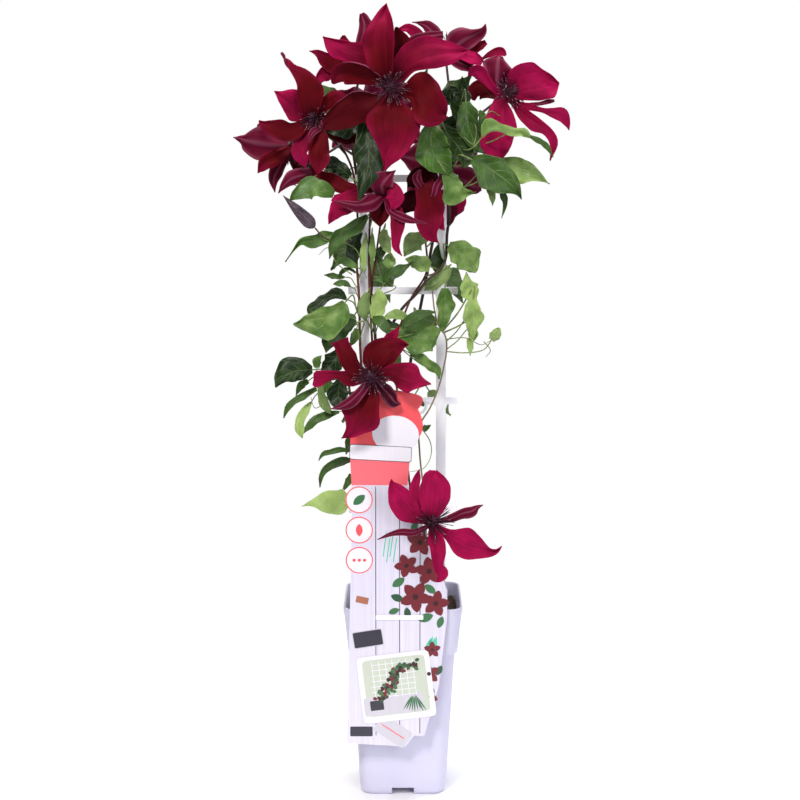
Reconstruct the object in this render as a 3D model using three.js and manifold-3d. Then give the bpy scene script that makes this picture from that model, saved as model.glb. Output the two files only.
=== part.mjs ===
// A large-flowered clematis in a tall square pot, tied in to a narrow white ladder.
// Millimetres, +Z up, the viewer at -Y. The origin is on the floor, in the middle of the pot's foot.
import * as THREE from "three";
import { mergeVertices } from "three/addons/utils/BufferGeometryUtils.js";
import Module from "manifold-3d";

const wasm = await Module();
wasm.setup();

// ---- driving dimensions ----
const GAP = 0.3; // between pieces that touch
const FINEST = 0.1; // smallest detail kept on a piece

const POT = {
  height: 176,
  foot: 77, // width at the floor
  waist: 93, // width just under the collar
  collar: 43, // height of the wider collar
  collarFoot: 98,
  rim: 106,
  corner: 13, // radius of the upright edges
  wall: 2,
  heel: 6, // how far the rounding of the foot reaches up
  ease: 1, // softened edge of the rim
  ledge: 0.5, // rise of the step under the collar
  floor: 10, // height of the inside floor
  channel: { wide: 20, high: 7 }, // air channel under the pot, both ways
};

// bump: height of its unevenness. edge: how much lower it lies along the wall.
const SOIL = { level: 165, bump: 2.2, edge: 4, stemHole: 2.6, stemDepth: 14 };

const LADDER = {
  y: 10, // middle of its thickness
  thick: 4,
  railX: 34.5,
  railWide: 8.7,
  top: 590,
  bottom: 40,
  rungLong: 98,
  rungHigh: 6.3,
  rungs: [254, 354, 454, 554],
  lip: 5.5, // radius of the lip under each rung end
};

// The card's outline in x and z, from its lower left corner up the right side, over the lobes of its head,
// each given as a control point and an end, and down the left side. Its tongue hooks over the pot's rim,
// and its strap runs back to the ladder.
const LABEL = {
  y: -56.8,
  thick: 0.8,
  foot: [-50, 55],
  right: [[2, 52], [10, 62], [19, 62], [32, 108], [35, 136], [39, 170], [39, 195], [4, 289], [7, 325]],
  head: [[24, 336, 13, 356], [22, 366, 12, 369], [-30, 382, -45, 352]],
  left: [[-46, 325], [-46, 310], [-45, 289], [-45, 250]],
  tongue: { x: -2, wide: 40, drop: 10, thick: 1 },
  strap: { thick: 1.4, from: [10, 352], by: [18, -30, 350], to: [22, 353] },
};

// claw, peak and power set the outline. fold lifts both edges, wave makes them rise and fall in some beats.
// rows: where the blade is cut across, as shares of its length.
const TEPAL = {
  thick: 0.8,
  heel: 0.8,
  claw: 0.14,
  peak: 0.52,
  power: 1.7,
  fold: 0.12,
  wave: 0.16,
  beats: [1.1, 1.23, 1.36],
  rows: [0, 0.2, 0.46, 0.76],
};
const SMALL_TEPAL = { ...TEPAL, rows: [0, 0.3, 0.7] };
const LEAF = {
  thick: 0.8,
  heel: 2.4, // thickness where the leaf's stalk runs in
  claw: 0.28,
  peak: 0.36,
  power: 1.15,
  fold: 0.22,
  wave: 0.2,
  beats: [1, 1.2, 1.4],
  rows: [0, 0.16, 0.36, 0.68],
};
const PLAIN_LEAF = { ...LEAF, rows: [0, 0.28, 0.64] };
const SMALL_LEAF = { ...LEAF, wave: 0.1, rows: [0, 0.4] };
// Leaves under this width are small. pitch, tilt: how far straight leaves and those on a course look up.
const LEAF_CHOICE = { smallUnder: 17, pitch: 25, tilt: 14 };
// How far from the middle of the receptacle and from its mid plane a tepal on a course starts, its half width
// there, and the least half width of any blade on a course.
const COURSE = { root: 4.4, layer: 1, rootHalf: 1.2, leastHalf: 1 };

const RECEPTACLE = { radius: 6, back: 2.6, front: 3.2, layer: 1.5 };
const STAMENS = { count: 6, long: 13, root: 1, rise: 1.6, dome: 4.2, leans: [60, 34] };
const VINE = { sides: 4, fineness: 1.15, petiole: 0.9, peduncle: 1.3, sag: 0.06, joint: 12 };

// ---- blooms ----
// at: centre. turn: which way it faces, 0 = the viewer, 90 = the viewer's right. pitch: upwards.
// tepals: a course in rows [to the right of the bloom's centre, in front of it, above it, half width on the
// left and on the right of the way it grows]. back: it shows its underside to the front. A plain bloom at the
// back has a row a tepal instead: [angle round it, reach, lift forwards, width, bow forwards, roll].
const BLOOMS = {
  a: {
    at: [-10, -62, 631],
    turn: 0,
    pitch: 6,
    tepals: [
      {
        course: [
          [4, 0, 6, 6, 6], [16, 8, 19, 15, 7], [30, 11, 26, 16, 11], [47, 7, 29, 11, 11],
          [65, -2, 31, 0, 0],
        ],
      },
      { course: [[2, -3, 10, 3, 3], [6, -8, 26, 8, 8], [7, -9, 39, 7, 9], [4, -8, 51, 1, 1]] },
      {
        course: [
          [-1, 0, 5, 3, 2], [-2, 9, 20, 17, 7], [-3, 14, 35, 21, 11], [-3, 17, 49, 17, 11],
          [-4, 14, 59, 9, 6], [-4, 8, 68, 0, 0],
        ],
      },
      {
        course: [
          [-6, 0, 10, 3, 3], [-22, 4, 23, 8, 13], [-36, 7, 30, 9, 9], [-46, 7, 35, 10, 5],
          [-57, 3, 42, 0, 0],
        ],
      },
      {
        course: [
          [-8, 2, 3, 3, 3], [-18, 9, 7, 5, 11], [-30, 14, 10, 8, 13], [-42, 16, 11, 8, 9],
          [-49, 14, 3, 1, 1],
        ],
      },
      {
        course: [
          [-10, 0, -8, 3, 3], [-23, 0, -13, 13, 13], [-37, -2, -20, 13, 13], [-50, -4, -28, 9, 9],
          [-59, -5, -34, 0, 0],
        ],
      },
      {
        course: [
          [-1, 2, -8, 5, 6], [0, 6, -20, 18, 18], [0, 9, -33, 24, 21], [-1, 8, -47, 18, 12],
          [-4, 5, -60, 8, 4], [-5, 2, -70, 0, 0],
        ],
      },
      {
        course: [
          [8, 2, -3, 3, 3], [17, 6, -6, 19, 5], [25, 8, -10, 22, 14], [34, 8, -16, 15, 17],
          [42, 4, -21, 8, 10], [48, 0, -24, 0, 0],
        ],
      },
    ],
  },
  b: {
    at: [90, -24, 627],
    turn: 32,
    pitch: 20,
    tepals: [
      {
        course: [
          [2, 2, -1, 4, 3], [8, 7, 1, 17, 7], [17, 13, 4, 22, 10], [27, 15, 6, 19, 12],
          [36, 15, 8, 10, 12], [44, 13, 9, 0, 0],
        ],
      },
      {
        back: true,
        course: [
          [-6, 0, -1, 3, 3], [-9, 2, 10, 6, 10], [-9, 3, 19, 11, 15], [-8, 2, 27, 12, 8],
          [-7, 0, 32, 3, 3],
        ],
      },
      {
        course: [
          [-4, 0, -4, 2, 2], [-11, 6, 4, 3, 3], [-18, 10, 12, 5, 4], [-25, 10, 19, 7, 6],
          [-31, 8, 18, 4, 4], [-34, 7, 15, 0, 0],
        ],
      },
      {
        course: [
          [-7, -6, -2, 3, 3], [-15, -12, 2, 6, 7], [-23, -16, 4, 8, 9], [-27, -18, 1, 5, 7],
          [-28, -18, -5, 1, 1],
        ],
      },
      {
        course: [
          [-4, 1, -5, 5, 7], [-6, 7, -15, 12, 10], [-7, 11, -26, 15, 13], [-8, 12, -38, 14, 16],
          [-8, 11, -49, 9, 12], [-8, 9, -59, 0, 0],
        ],
      },
      {
        course: [
          [5, 2, -8, 2, 2], [15, 8, -18, 6, 6], [25, 12, -25, 6, 8], [34, 14, -32, 5, 4],
          [40, 14, -42, 4, 4], [37, 11, -57, 0, 0],
        ],
      },
      {
        course: [
          [6, 2, -8, 2, 2], [18, 10, -11, 3, 3], [30, 13, -14, 2, 2], [38, 15, -16, 4, 4],
          [46, 15, -19, 7, 5], [51, 14, -25, 3, 3], [53, 13, -31, 0, 0],
        ],
      },
    ],
  },
  c: {
    at: [40, 10, 666],
    turn: 170,
    pitch: 35,
    tepals: [
      {
        course: [
          [-13, 2, 0, 3, 3], [-27, 2, 12, 4, 6], [-35, 4, 19, 4, 4], [-42, 4, 18, 2, 2],
          [-47, 4, 17, 0, 0],
        ],
      },
      {
        back: true,
        course: [
          [-9, 0, 2, 4, 4], [-13, 2, 13, 8, 7], [-19, 4, 20, 4, 6], [-26, 5, 23, 1, 2],
          [-32, 5, 24, 0, 0],
        ],
      },
      {
        back: true,
        course: [
          [3, 0, -3, 4, 4], [7, 6, 3, 12, 7], [13, 8, 8, 13, 10], [22, 10, 13, 5, 8], [29, 12, 17, 2, 5],
          [32, 12, 22, 0, 0],
        ],
      },
      { course: [[13, 2, -4, 3, 3], [21, 4, 0, 4, 4], [28, 5, 4, 4, 4], [33, 5, 7, 2, 2]] },
      { course: [[8, 3, 1, 3, 3], [13, 10, -4, 5, 5], [22, 14, -8, 6, 5], [29, 16, -12, 3, 2]] },
      {
        course: [
          [20, 6, -11, 2, 2], [29, 7, -8, 1, 1], [35, 8, -4, 2, 3], [40, 10, -2, 3, 4],
          [46, 11, -2, 4, 4], [50, 12, -5, 1, 1],
        ],
      },
      {
        back: true,
        course: [
          [0, -2, -5, 4, 4], [8, 0, -9, 6, 6], [17, 2, -14, 5, 5], [23, 2, -18, 1, 1],
        ],
      },
    ],
  },
  d: {
    at: [-45, 6, 652],
    turn: -150,
    pitch: 25,
    tepals: [
      {
        back: true,
        course: [
          [4, 2, 2, 3, 3], [8, 4, 18, 5, 8], [11, 6, 32, 5, 8], [10, 6, 40, 4, 6], [8, 6, 45, 1, 3],
        ],
      },
      {
        course: [
          [-6, 0, -4, 3, 3], [-15, 2, 0, 7, 8], [-23, 4, 6, 7, 6], [-30, 6, 11, 3, 3],
          [-37, 6, 13, 0, 0],
        ],
      },
      { course: [[-8, -2, -5, 3, 3], [-20, 0, -6, 6, 7], [-27, 2, -10, 5, 5], [-29, 3, -16, 1, 1]] },
      { course: [[-2, -4, 0, 4, 4], [-5, -3, 11, 8, 8], [-7, -2, 20, 6, 6], [-7, -2, 27, 1, 1]] },
    ],
  },
  e: {
    at: [-75, -36, 607],
    turn: -20,
    pitch: 12,
    tepals: [
      {
        course: [
          [3, 4, 1, 3, 3], [8, 10, 10, 5, 7], [16, 13, 16, 6, 7], [23, 14, 17, 4, 4], [30, 14, 17, 0, 0],
        ],
      },
      {
        course: [
          [-2, 4, 0, 4, 3], [-4, 13, 10, 9, 9], [-5, 19, 22, 11, 12], [-10, 22, 32, 7, 9],
          [-19, 21, 41, 3, 3], [-25, 19, 48, 3, 3], [-28, 18, 54, 0, 0],
        ],
      },
      {
        course: [
          [-6, 2, 0, 4, 4], [-15, 8, 7, 12, 13], [-23, 11, 13, 8, 12], [-30, 10, 18, 3, 5],
          [-35, 9, 22, 0, 0],
        ],
      },
      {
        course: [
          [-5, 2, -4, 4, 4], [-20, 9, -11, 9, 6], [-32, 13, -10, 8, 8], [-43, 13, -7, 5, 4],
          [-48, 12, -3, 0, 0],
        ],
      },
      {
        course: [
          [-2, 2, -4, 4, 4], [-11, 7, -21, 6, 7], [-14, 9, -30, 7, 7], [-11, 9, -38, 5, 3],
          [-9, 8, -43, 0, 0],
        ],
      },
      {
        course: [
          [2, 4, -4, 4, 4], [3, 12, -18, 8, 9], [3, 18, -30, 9, 9], [3, 18, -39, 8, 8],
          [1, 16, -49, 0, 0],
        ],
      },
      { course: [[5, -4, -2, 5, 5], [17, -6, -8, 11, 11], [28, -8, -15, 9, 9], [37, -8, -20, 1, 1]] },
    ],
  },
  f: {
    at: [-100, 0, 582],
    turn: -165,
    pitch: -20,
    tepals: [
      {
        back: true,
        course: [
          [1, 0, 1, 3, 3], [-12, 9, 1, 11, 10], [-26, 13, 3, 15, 15], [-37, 12, 5, 10, 8],
          [-43, 10, 7, 4, 3], [-49, 9, 8, 0, 0],
        ],
      },
      {
        course: [
          [1, 6, -1, 3, 3], [-9, 16, -7, 7, 5], [-18, 20, -12, 8, 7], [-23, 20, -18, 4, 4],
          [-27, 19, -23, 0, 0],
        ],
      },
      {
        back: true,
        course: [
          [0, 0, -3, 3, 3], [-5, 4, -12, 4, 4], [-11, 6, -22, 5, 7], [-14, 6, -30, 4, 4],
          [-13, 6, -40, 0, 0],
        ],
      },
      {
        back: true,
        course: [
          [0, -4, 5, 3, 3], [-12, -8, 10, 7, 7], [-22, -8, 16, 8, 5], [-29, -8, 19, 1, 1],
        ],
      },
      { course: [[0, -3, 0, 5, 5], [8, -5, -12, 9, 9], [14, -6, -24, 8, 8], [17, -6, -33, 1, 1]] },
    ],
  },
  k: {
    at: [-79, -22, 566],
    turn: 176,
    pitch: -22,
    tepals: [
      {
        back: true,
        course: [
          [4, 0, -4, 4, 4], [-6, 10, -8, 5, 6], [-16, 14, -11, 6, 7], [-23, 14, -16, 4, 4],
          [-29, 12, -24, 0, 0],
        ],
      },
      {
        course: [
          [-2, 0, 1, 3, 3], [8, 10, -9, 5, 5], [18, 15, -14, 8, 7], [28, 16, -19, 7, 6],
          [36, 16, -21, 5, 4], [40, 16, -24, 1, 1],
        ],
      },
      { course: [[3, -4, -8, 4, 4], [-4, -6, -15, 6, 6], [-9, -6, -21, 1, 1]] },
    ],
  },
  g: {
    at: [-15, -38, 546],
    turn: -8,
    pitch: -30,
    tepals: [
      {
        course: [
          [-9, 2, -11, 4, 4], [-25, 9, -11, 7, 8], [-37, 12, -15, 8, 10], [-44, 12, -23, 4, 6],
          [-49, 11, -30, 0, 0],
        ],
      },
      {
        back: true,
        course: [
          [-4, 6, -6, 4, 4], [-12, 18, -11, 8, 8], [-23, 22, -13, 7, 3], [-33, 22, -12, 4, 2],
          [-44, 20, -10, 0, 0],
        ],
      },
      {
        back: true,
        course: [
          [-2, 6, -4, 5, 5], [-3, 18, 3, 10, 9], [1, 22, 9, 9, 7], [5, 22, 13, 3, 3], [9, 20, 16, 0, 0],
        ],
      },
      { course: [[0, 8, 4, 4, 4], [6, 19, 0, 6, 8], [9, 21, -8, 7, 8], [6, 19, -17, 1, 1]] },
      {
        course: [
          [2, 8, -8, 3, 3], [7, 15, -19, 7, 4], [10, 18, -30, 7, 6], [9, 18, -42, 4, 4],
          [9, 17, -50, 3, 3], [14, 16, -57, 0, 0],
        ],
      },
      {
        back: true,
        course: [
          [3, 14, -17, 3, 3], [12, 22, -23, 4, 4], [21, 24, -26, 3, 3], [30, 24, -28, 1, 1],
          [37, 22, -30, 0, 0],
        ],
      },
      { course: [[-2, 0, -2, 6, 6], [-4, 2, -14, 10, 10], [-5, 4, -24, 8, 8], [-5, 4, -32, 1, 1]] },
    ],
  },
  h: {
    at: [20, -26, 541],
    turn: 14,
    pitch: -32,
    tepals: [
      {
        course: [
          [-2, 10, 9, 8, 8], [1, 14, -6, 15, 10], [2, 14, -18, 13, 12], [3, 13, -28, 10, 10],
          [6, 10, -35, 4, 7], [11, 8, -42, 0, 0],
        ],
      },
      { course: [[4, 6, -9, 3, 3], [10, 12, -20, 5, 5], [13, 13, -27, 3, 3], [16, 13, -31, 0, 0]] },
      {
        back: true,
        course: [
          [5, 8, -7, 3, 3], [8, 16, 0, 4, 4], [10, 18, 7, 4, 4], [13, 18, 13, 3, 3], [12, 16, 19, 1, 1],
        ],
      },
      {
        back: true,
        course: [
          [-2, 8, 4, 3, 3], [-6, 15, 10, 4, 3], [-8, 17, 15, 4, 4], [-5, 16, 21, 1, 1],
        ],
      },
      { course: [[-1, 0, 2, 5, 5], [-1, 0, 9, 15, 13], [-4, 4, 18, 14, 12], [-6, 4, 24, 4, 4]] },
      { course: [[-3, 0, -1, 4, 4], [-11, -2, -5, 10, 9], [-17, -4, -11, 7, 7], [-20, -4, -17, 1, 1]] },
      {
        course: [
          [8, -4, 0, 3, 3], [20, -10, -1, 5, 5], [30, -12, -5, 5, 5], [31, -12, -12, 3, 3],
          [28, -12, -17, 0, 0],
        ],
      },
    ],
  },
  i: {
    at: [-27, -66, 385],
    turn: 0,
    pitch: 12,
    tepals: [
      {
        course: [
          [5, 2, 0, 3, 3], [16, 6, 4, 8, 7], [25, 9, 3, 11, 11], [35, 8, 1, 11, 14], [42, 6, -2, 4, 6],
          [51, 4, -5, 0, 0],
        ],
      },
      {
        course: [
          [2, 3, 4, 3, 4], [4, 6, 12, 13, 8], [10, 9, 21, 15, 12], [18, 8, 27, 10, 10],
          [25, 6, 29, 5, 6], [31, 4, 29, 0, 0],
        ],
      },
      { course: [[6, -4, 9, 3, 3], [13, -6, 29, 5, 5], [19, -6, 36, 4, 4], [24, -7, 44, 0, 0]] },
      {
        course: [
          [-4, 2, 3, 4, 3], [-14, 6, 10, 9, 5], [-21, 8, 19, 7, 8], [-25, 7, 28, 7, 7],
          [-27, 6, 33, 8, 7],
        ],
      },
      {
        course: [
          [-4, 2, 0, 3, 3], [-18, 6, 0, 7, 7], [-29, 9, 3, 3, 4], [-39, 10, 2, 5, 6], [-46, 9, 0, 7, 7],
          [-50, 8, 0, 5, 5],
        ],
      },
      {
        back: true,
        course: [
          [-3, 6, -4, 3, 3], [-10, 14, -11, 5, 4], [-18, 18, -18, 6, 4], [-26, 18, -23, 3, 3],
          [-35, 16, -25, 0, 0],
        ],
      },
      {
        course: [
          [0, 4, -7, 4, 4], [-3, 8, -16, 11, 9], [-9, 11, -27, 17, 16], [-12, 11, -36, 17, 13],
          [-18, 9, -45, 8, 5], [-26, 8, -52, 0, 0],
        ],
      },
      {
        back: true,
        course: [
          [4, -2, -4, 3, 3], [11, 0, -11, 6, 5], [16, 1, -16, 6, 7], [20, 1, -21, 3, 6],
          [25, 0, -23, 0, 0],
        ],
      },
    ],
  },
  j: {
    at: [25, -72, 259],
    turn: 8,
    pitch: 25,
    tepals: [
      {
        course: [
          [0, 4, 4, 3, 3], [1, 11, 15, 11, 10], [2, 15, 26, 13, 13], [2, 15, 36, 12, 13],
          [1, 13, 44, 9, 7], [1, 12, 48, 3, 3],
        ],
      },
      {
        course: [
          [-5, 4, 5, 3, 3], [-12, 12, 19, 5, 4], [-15, 14, 31, 5, 4], [-13, 13, 42, 3, 3],
          [-11, 12, 49, 0, 0],
        ],
      },
      {
        course: [
          [-7, 4, 2, 3, 3], [-16, 11, 10, 10, 8], [-24, 13, 19, 13, 11], [-30, 13, 29, 9, 8],
          [-34, 12, 36, 3, 3], [-35, 11, 40, 0, 0],
        ],
      },
      {
        back: true,
        course: [
          [6, 4, 2, 2, 2], [16, 8, 5, 4, 4], [26, 10, 10, 4, 5], [34, 10, 12, 4, 5], [39, 9, 15, 2, 2],
          [44, 8, 17, 0, 0],
        ],
      },
      {
        course: [
          [5, 6, -3, 3, 3], [16, 13, -8, 5, 7], [27, 18, -13, 13, 14], [38, 19, -17, 9, 13],
          [48, 17, -21, 3, 6], [55, 15, -21, 1, 3], [60, 14, -18, 0, 0],
        ],
      },
      {
        course: [
          [0, 7, -4, 3, 3], [3, 15, -15, 8, 8], [4, 18, -24, 8, 7], [5, 17, -35, 5, 5],
          [8, 16, -42, 6, 5], [5, 15, -49, 2, 2],
        ],
      },
      {
        back: true,
        course: [
          [-5, 6, -3, 2, 2], [-16, 13, -6, 3, 3], [-26, 17, -5, 3, 3], [-36, 17, -7, 2, 2],
          [-47, 15, -12, 0, 0],
        ],
      },
    ],
  },
  l: {
    at: [-22, 72, 606],
    turn: 184,
    pitch: 16,
    tepals: [
      [33, 48, 4, 32, 6, 8],
      [92, 52, 2, 32, 6, 0],
      [150, 50, 4, 32, 6, -8],
      [208, 46, 2, 31, 5, 0],
      [268, 54, 4, 35, 6, 0],
      [330, 50, 0, 32, 6, -8],
    ],
  },
  m: {
    at: [34, 70, 560],
    turn: 158,
    pitch: 4,
    tepals: [
      [18, 44, 2, 30, 5, 0],
      [80, 44, 0, 30, 6, 0],
      [142, 46, 2, 29, 5, 0],
      [204, 44, 0, 31, 6, -10],
      [262, 52, 2, 34, 6, 0],
      [318, 48, 0, 31, 6, 10],
    ],
  },
};

// ---- vines ----
// hole: where it leaves the soil. route: its course above that. thick: radius.
// leaves: a course in rows [x, y, z, half width on the left and on the right], or, on the vines at the back,
// one row [base x, y, z, tip x, y, z, width, turn of the face, arch].
// blooms: [bloom, height at which its stalk leaves the vine, a point the stalk passes if it must bend clear].
const VINES = {
  left: {
    hole: [-18, -9],
    thick: 1.2,
    route: [
      [-30, -10, 300],
      [-38, -7, 400],
      [-39, -6, 448],
      [-41, -6, 482],
      [-40, -6, 516],
      [-44, -10, 560],
      [-54, -18, 584],
    ],
    blooms: [["e", 575], ["k", 584]],
    leaves: [
      {
        course: [
          [-60, -44, 541, 3, 3], [-70, -48, 546, 8, 8], [-81, -49, 547, 10, 9], [-91, -50, 541, 5, 5],
          [-97, -50, 536, 0, 0],
        ],
      },
      {
        course: [
          [-61, -20, 506, 2, 2], [-69, -22, 503, 6, 6], [-78, -24, 500, 7, 5], [-88, -26, 500, 4, 3],
          [-94, -27, 494, 1, 1], [-103, -28, 482, 0, 0],
        ],
      },
      {
        course: [
          [-40, -13, 476, 1, 1], [-47, -14, 480, 4, 4], [-54, -15, 482, 3, 4], [-58, -15, 479, 1, 2],
          [-61, -16, 475, 0, 0],
        ],
      },
      {
        course: [
          [-52, -5, 467, 1, 1], [-58, -6, 468, 3, 2], [-64, -6, 469, 3, 2], [-70, -7, 469, 0, 0],
        ],
      },
      {
        course: [
          [-47, -6, 459, 1, 1], [-52, -7, 462, 3, 3], [-58, -8, 462, 3, 2], [-62, -8, 461, 0, 0],
        ],
      },
      {
        course: [
          [-50, -14, 448, 1, 1], [-59, -16, 452, 3, 7], [-68, -17, 448, 3, 5], [-75, -18, 444, 4, 5],
          [-81, -19, 440, 4, 4], [-82, -20, 434, 1, 1],
        ],
      },
      {
        course: [
          [-51, -24, 446, 3, 3], [-58, -26, 439, 16, 7], [-69, -29, 434, 20, 8], [-83, -32, 431, 14, 5],
          [-90, -33, 429, 6, 2], [-96, -34, 428, 0, 0],
        ],
      },
      {
        course: [
          [-41, -18, 428, 2, 2], [-49, -20, 427, 7, 5], [-58, -23, 420, 9, 7], [-65, -25, 411, 6, 7],
          [-68, -26, 402, 0, 0],
        ],
      },
      {
        course: [
          [-38, -10, 508, 3, 3], [-43, -11, 498, 6, 6], [-44, -12, 488, 6, 6], [-42, -12, 477, 1, 1],
        ],
      },
      {
        course: [
          [-46, -26, 556, 3, 3], [-54, -27, 563, 8, 6], [-62, -27, 567, 6, 6], [-67, -27, 563, 1, 1],
        ],
      },
    ],
  },
  middle: {
    hole: [-9, -14],
    thick: 1.2,
    route: [
      [-20, -12, 300],
      [-28, -9, 420],
      [-30, -9, 474],
      [-29, -9, 521],
      [-26, -18, 562],
      [-20, -34, 600],
    ],
    blooms: [["a", 598]],
    leaves: [
      {
        course: [
          [-31, -46, 606, 6, 6], [-30, -50, 590, 11, 11], [-29, -54, 576, 13, 12],
          [-30, -57, 563, 12, 10], [-34, -59, 550, 6, 5], [-38, -60, 534, 0, 0],
        ],
      },
      {
        course: [
          [-33, -32, 600, 4, 4], [-44, -34, 600, 10, 10], [-56, -33, 598, 9, 9], [-66, -32, 596, 2, 2],
        ],
      },
      {
        course: [
          [-31, -22, 522, 2, 2], [-41, -26, 514, 7, 5], [-52, -30, 506, 6, 7], [-60, -33, 497, 4, 5],
          [-64, -34, 485, 0, 0],
        ],
      },
      {
        course: [
          [-26, -20, 431, 3, 3], [-22, -21, 441, 7, 7], [-21, -22, 451, 6, 6], [-22, -22, 459, 0, 0],
        ],
      },
      {
        back: true,
        course: [
          [-31, -13, 454, 2, 2], [-34, -14, 446, 5, 5], [-35, -15, 437, 6, 5], [-33, -15, 429, 0, 0],
        ],
      },
      {
        course: [
          [-27, -24, 432, 2, 2], [-21, -28, 430, 5, 4], [-16, -31, 425, 5, 4], [-12, -32, 420, 2, 2],
          [-9, -32, 414, 0, 0],
        ],
      },
    ],
  },
  centre: {
    hole: [-1, -8],
    thick: 1.1,
    route: [
      [-10, -4, 300],
      [-24, -3, 410],
      [-28, -2, 450],
      [-24, -6, 485],
      [-19, -14, 520],
      [-16, -28, 539],
    ],
    blooms: [["g", 538]],
    leaves: [
      {
        course: [
          [-17, -18, 431, 1, 1], [-9, -18, 434, 5, 3], [-1, -17, 434, 4, 4], [8, -16, 429, 0, 0],
        ],
      },
      { course: [[-12, -12, 475, 2, 2], [-12, -12, 482, 6, 6], [-11, -12, 489, 1, 1]] },
      {
        course: [
          [-16, -18, 463, 2, 2], [-11, -19, 470, 6, 6], [-3, -19, 474, 5, 4], [4, -18, 478, 2, 2],
          [9, -18, 482, 0, 0],
        ],
      },
      { course: [[-17, -14, 496, 2, 2], [-20, -14, 488, 4, 4], [-22, -14, 480, 0, 0]] },
      {
        back: true,
        course: [
          [-16, -18, 510, 2, 2], [-17, -19, 502, 6, 5], [-14, -20, 494, 4, 4], [-11, -20, 489, 0, 0],
        ],
      },
    ],
  },
  right: {
    hole: [9, -15],
    thick: 1.5,
    route: [
      [2, -18, 260],
      [-8, -20, 330],
      [-18, -13, 402],
      [-3, -6, 436],
      [12, -12, 453],
      [21, -19, 465],
      [33, -15, 475],
      [38, -8, 485],
      [39, -4, 504],
      [41, -6, 522],
      [41, -10, 544],
      [46, -16, 588],
      [40, -8, 634],
    ],
    blooms: [["b", 600], ["c", 628]],
    leaves: [
      {
        course: [
          [51, -24, 606, 4, 4], [50, -26, 617, 9, 9], [50, -28, 626, 10, 8], [51, -28, 634, 5, 4],
          [51, -28, 642, 0, 0],
        ],
      },
      {
        course: [
          [54, -38, 620, 3, 3], [55, -40, 610, 9, 8], [56, -41, 599, 9, 10], [60, -41, 588, 7, 7],
          [65, -40, 577, 0, 0],
        ],
      },
      {
        course: [
          [34, -30, 603, 4, 4], [40, -31, 600, 8, 8], [46, -31, 599, 7, 7], [51, -31, 599, 2, 2],
        ],
      },
      {
        course: [
          [36, -34, 597, 4, 4], [43, -36, 588, 10, 10], [50, -36, 578, 12, 12], [54, -36, 571, 7, 7],
          [52, -36, 564, 1, 1],
        ],
      },
      {
        course: [
          [26, -50, 600, 5, 5], [24, -52, 589, 13, 11], [26, -52, 577, 15, 15], [32, -51, 569, 11, 12],
          [41, -50, 560, 1, 2],
        ],
      },
      {
        course: [
          [36, -48, 561, 3, 3], [42, -47, 552, 7, 10], [48, -46, 545, 6, 15], [55, -44, 543, 2, 4],
          [62, -42, 543, 0, 0],
        ],
      },
      {
        course: [
          [67, -64, 590, 1, 1], [73, -66, 597, 8, 3], [83, -66, 597, 4, 3], [93, -65, 594, 4, 4],
          [102, -62, 593, 5, 3], [108, -60, 590, 1, 1],
        ],
      },
      {
        course: [
          [59, -42, 571, 3, 3], [69, -44, 567, 9, 13], [79, -45, 560, 12, 17], [90, -45, 552, 9, 13],
          [98, -45, 544, 4, 4], [102, -45, 537, 0, 0],
        ],
      },
      {
        course: [
          [85, -30, 570, 3, 3], [96, -31, 566, 7, 10], [107, -32, 562, 7, 13], [118, -32, 556, 4, 5],
          [127, -32, 550, 0, 0],
        ],
      },
      { course: [[73, -28, 550, 2, 2], [77, -28, 541, 4, 3], [78, -28, 531, 0, 0]] },
      {
        course: [
          [84, -28, 550, 1, 1], [87, -27, 541, 3, 3], [89, -27, 532, 2, 2], [86, -26, 520, 0, 0],
        ],
      },
      {
        back: true,
        course: [
          [41, -14, 477, 3, 3], [36, -14, 470, 6, 5], [29, -14, 463, 6, 6], [23, -14, 459, 4, 4],
          [19, -14, 456, 0, 0],
        ],
      },
      {
        course: [
          [40, -12, 495, 4, 4], [48, -11, 491, 9, 12], [56, -10, 485, 13, 12], [62, -9, 477, 8, 8],
          [65, -8, 472, 1, 1],
        ],
      },
      {
        course: [
          [37, -14, 458, 3, 3], [37, -15, 448, 8, 8], [37, -16, 440, 8, 8], [36, -17, 430, 5, 6],
          [34, -17, 420, 0, 0],
        ],
      },
    ],
  },
  diagonal: {
    hole: [14, 0],
    thick: 1.1,
    route: [
      [6, -2, 280],
      [-2, -2, 340],
      [-7, -3, 402],
      [6, 2, 445],
      [21, 4, 471],
      [20, 0, 500],
      [19, -12, 522],
    ],
    blooms: [["h", 520]],
    leaves: [
      {
        back: true,
        course: [
          [22, -12, 502, 3, 3], [14, -13, 501, 8, 7], [7, -13, 496, 8, 8], [1, -12, 486, 0, 0],
        ],
      },
      { course: [[24, -15, 477, 5, 4], [17, -16, 480, 8, 7], [9, -16, 483, 6, 4], [2, -16, 484, 0, 0]] },
    ],
  },
  thin: {
    hole: [22, -8],
    thick: 0.8,
    route: [
      [20, -8, 260],
      [15, -9, 310],
      [15, -10, 334],
      [24, -10, 350],
      [31, -9, 366],
      [36, -8, 385],
      [39, -8, 403],
      [38, -8, 414],
      [32, -10, 424],
      [28, -12, 438],
      [26, -12, 456],
    ],
    blooms: [],
    leaves: [
      {
        course: [
          [62, -13, 447, 3, 3], [59, -12, 456, 9, 9], [57, -12, 463, 5, 5], [56, -12, 472, 0, 0],
        ],
      },
      {
        course: [
          [62, -14, 449, 3, 3], [61, -15, 440, 8, 7], [62, -15, 430, 9, 8], [62, -15, 421, 4, 5],
          [63, -16, 413, 0, 0],
        ],
      },
      {
        course: [
          [-1, -30, 424, 1, 1], [6, -29, 431, 5, 5], [15, -29, 435, 5, 3], [23, -28, 437, 3, 2],
          [29, -28, 438, 0, 0],
        ],
      },
      {
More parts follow.
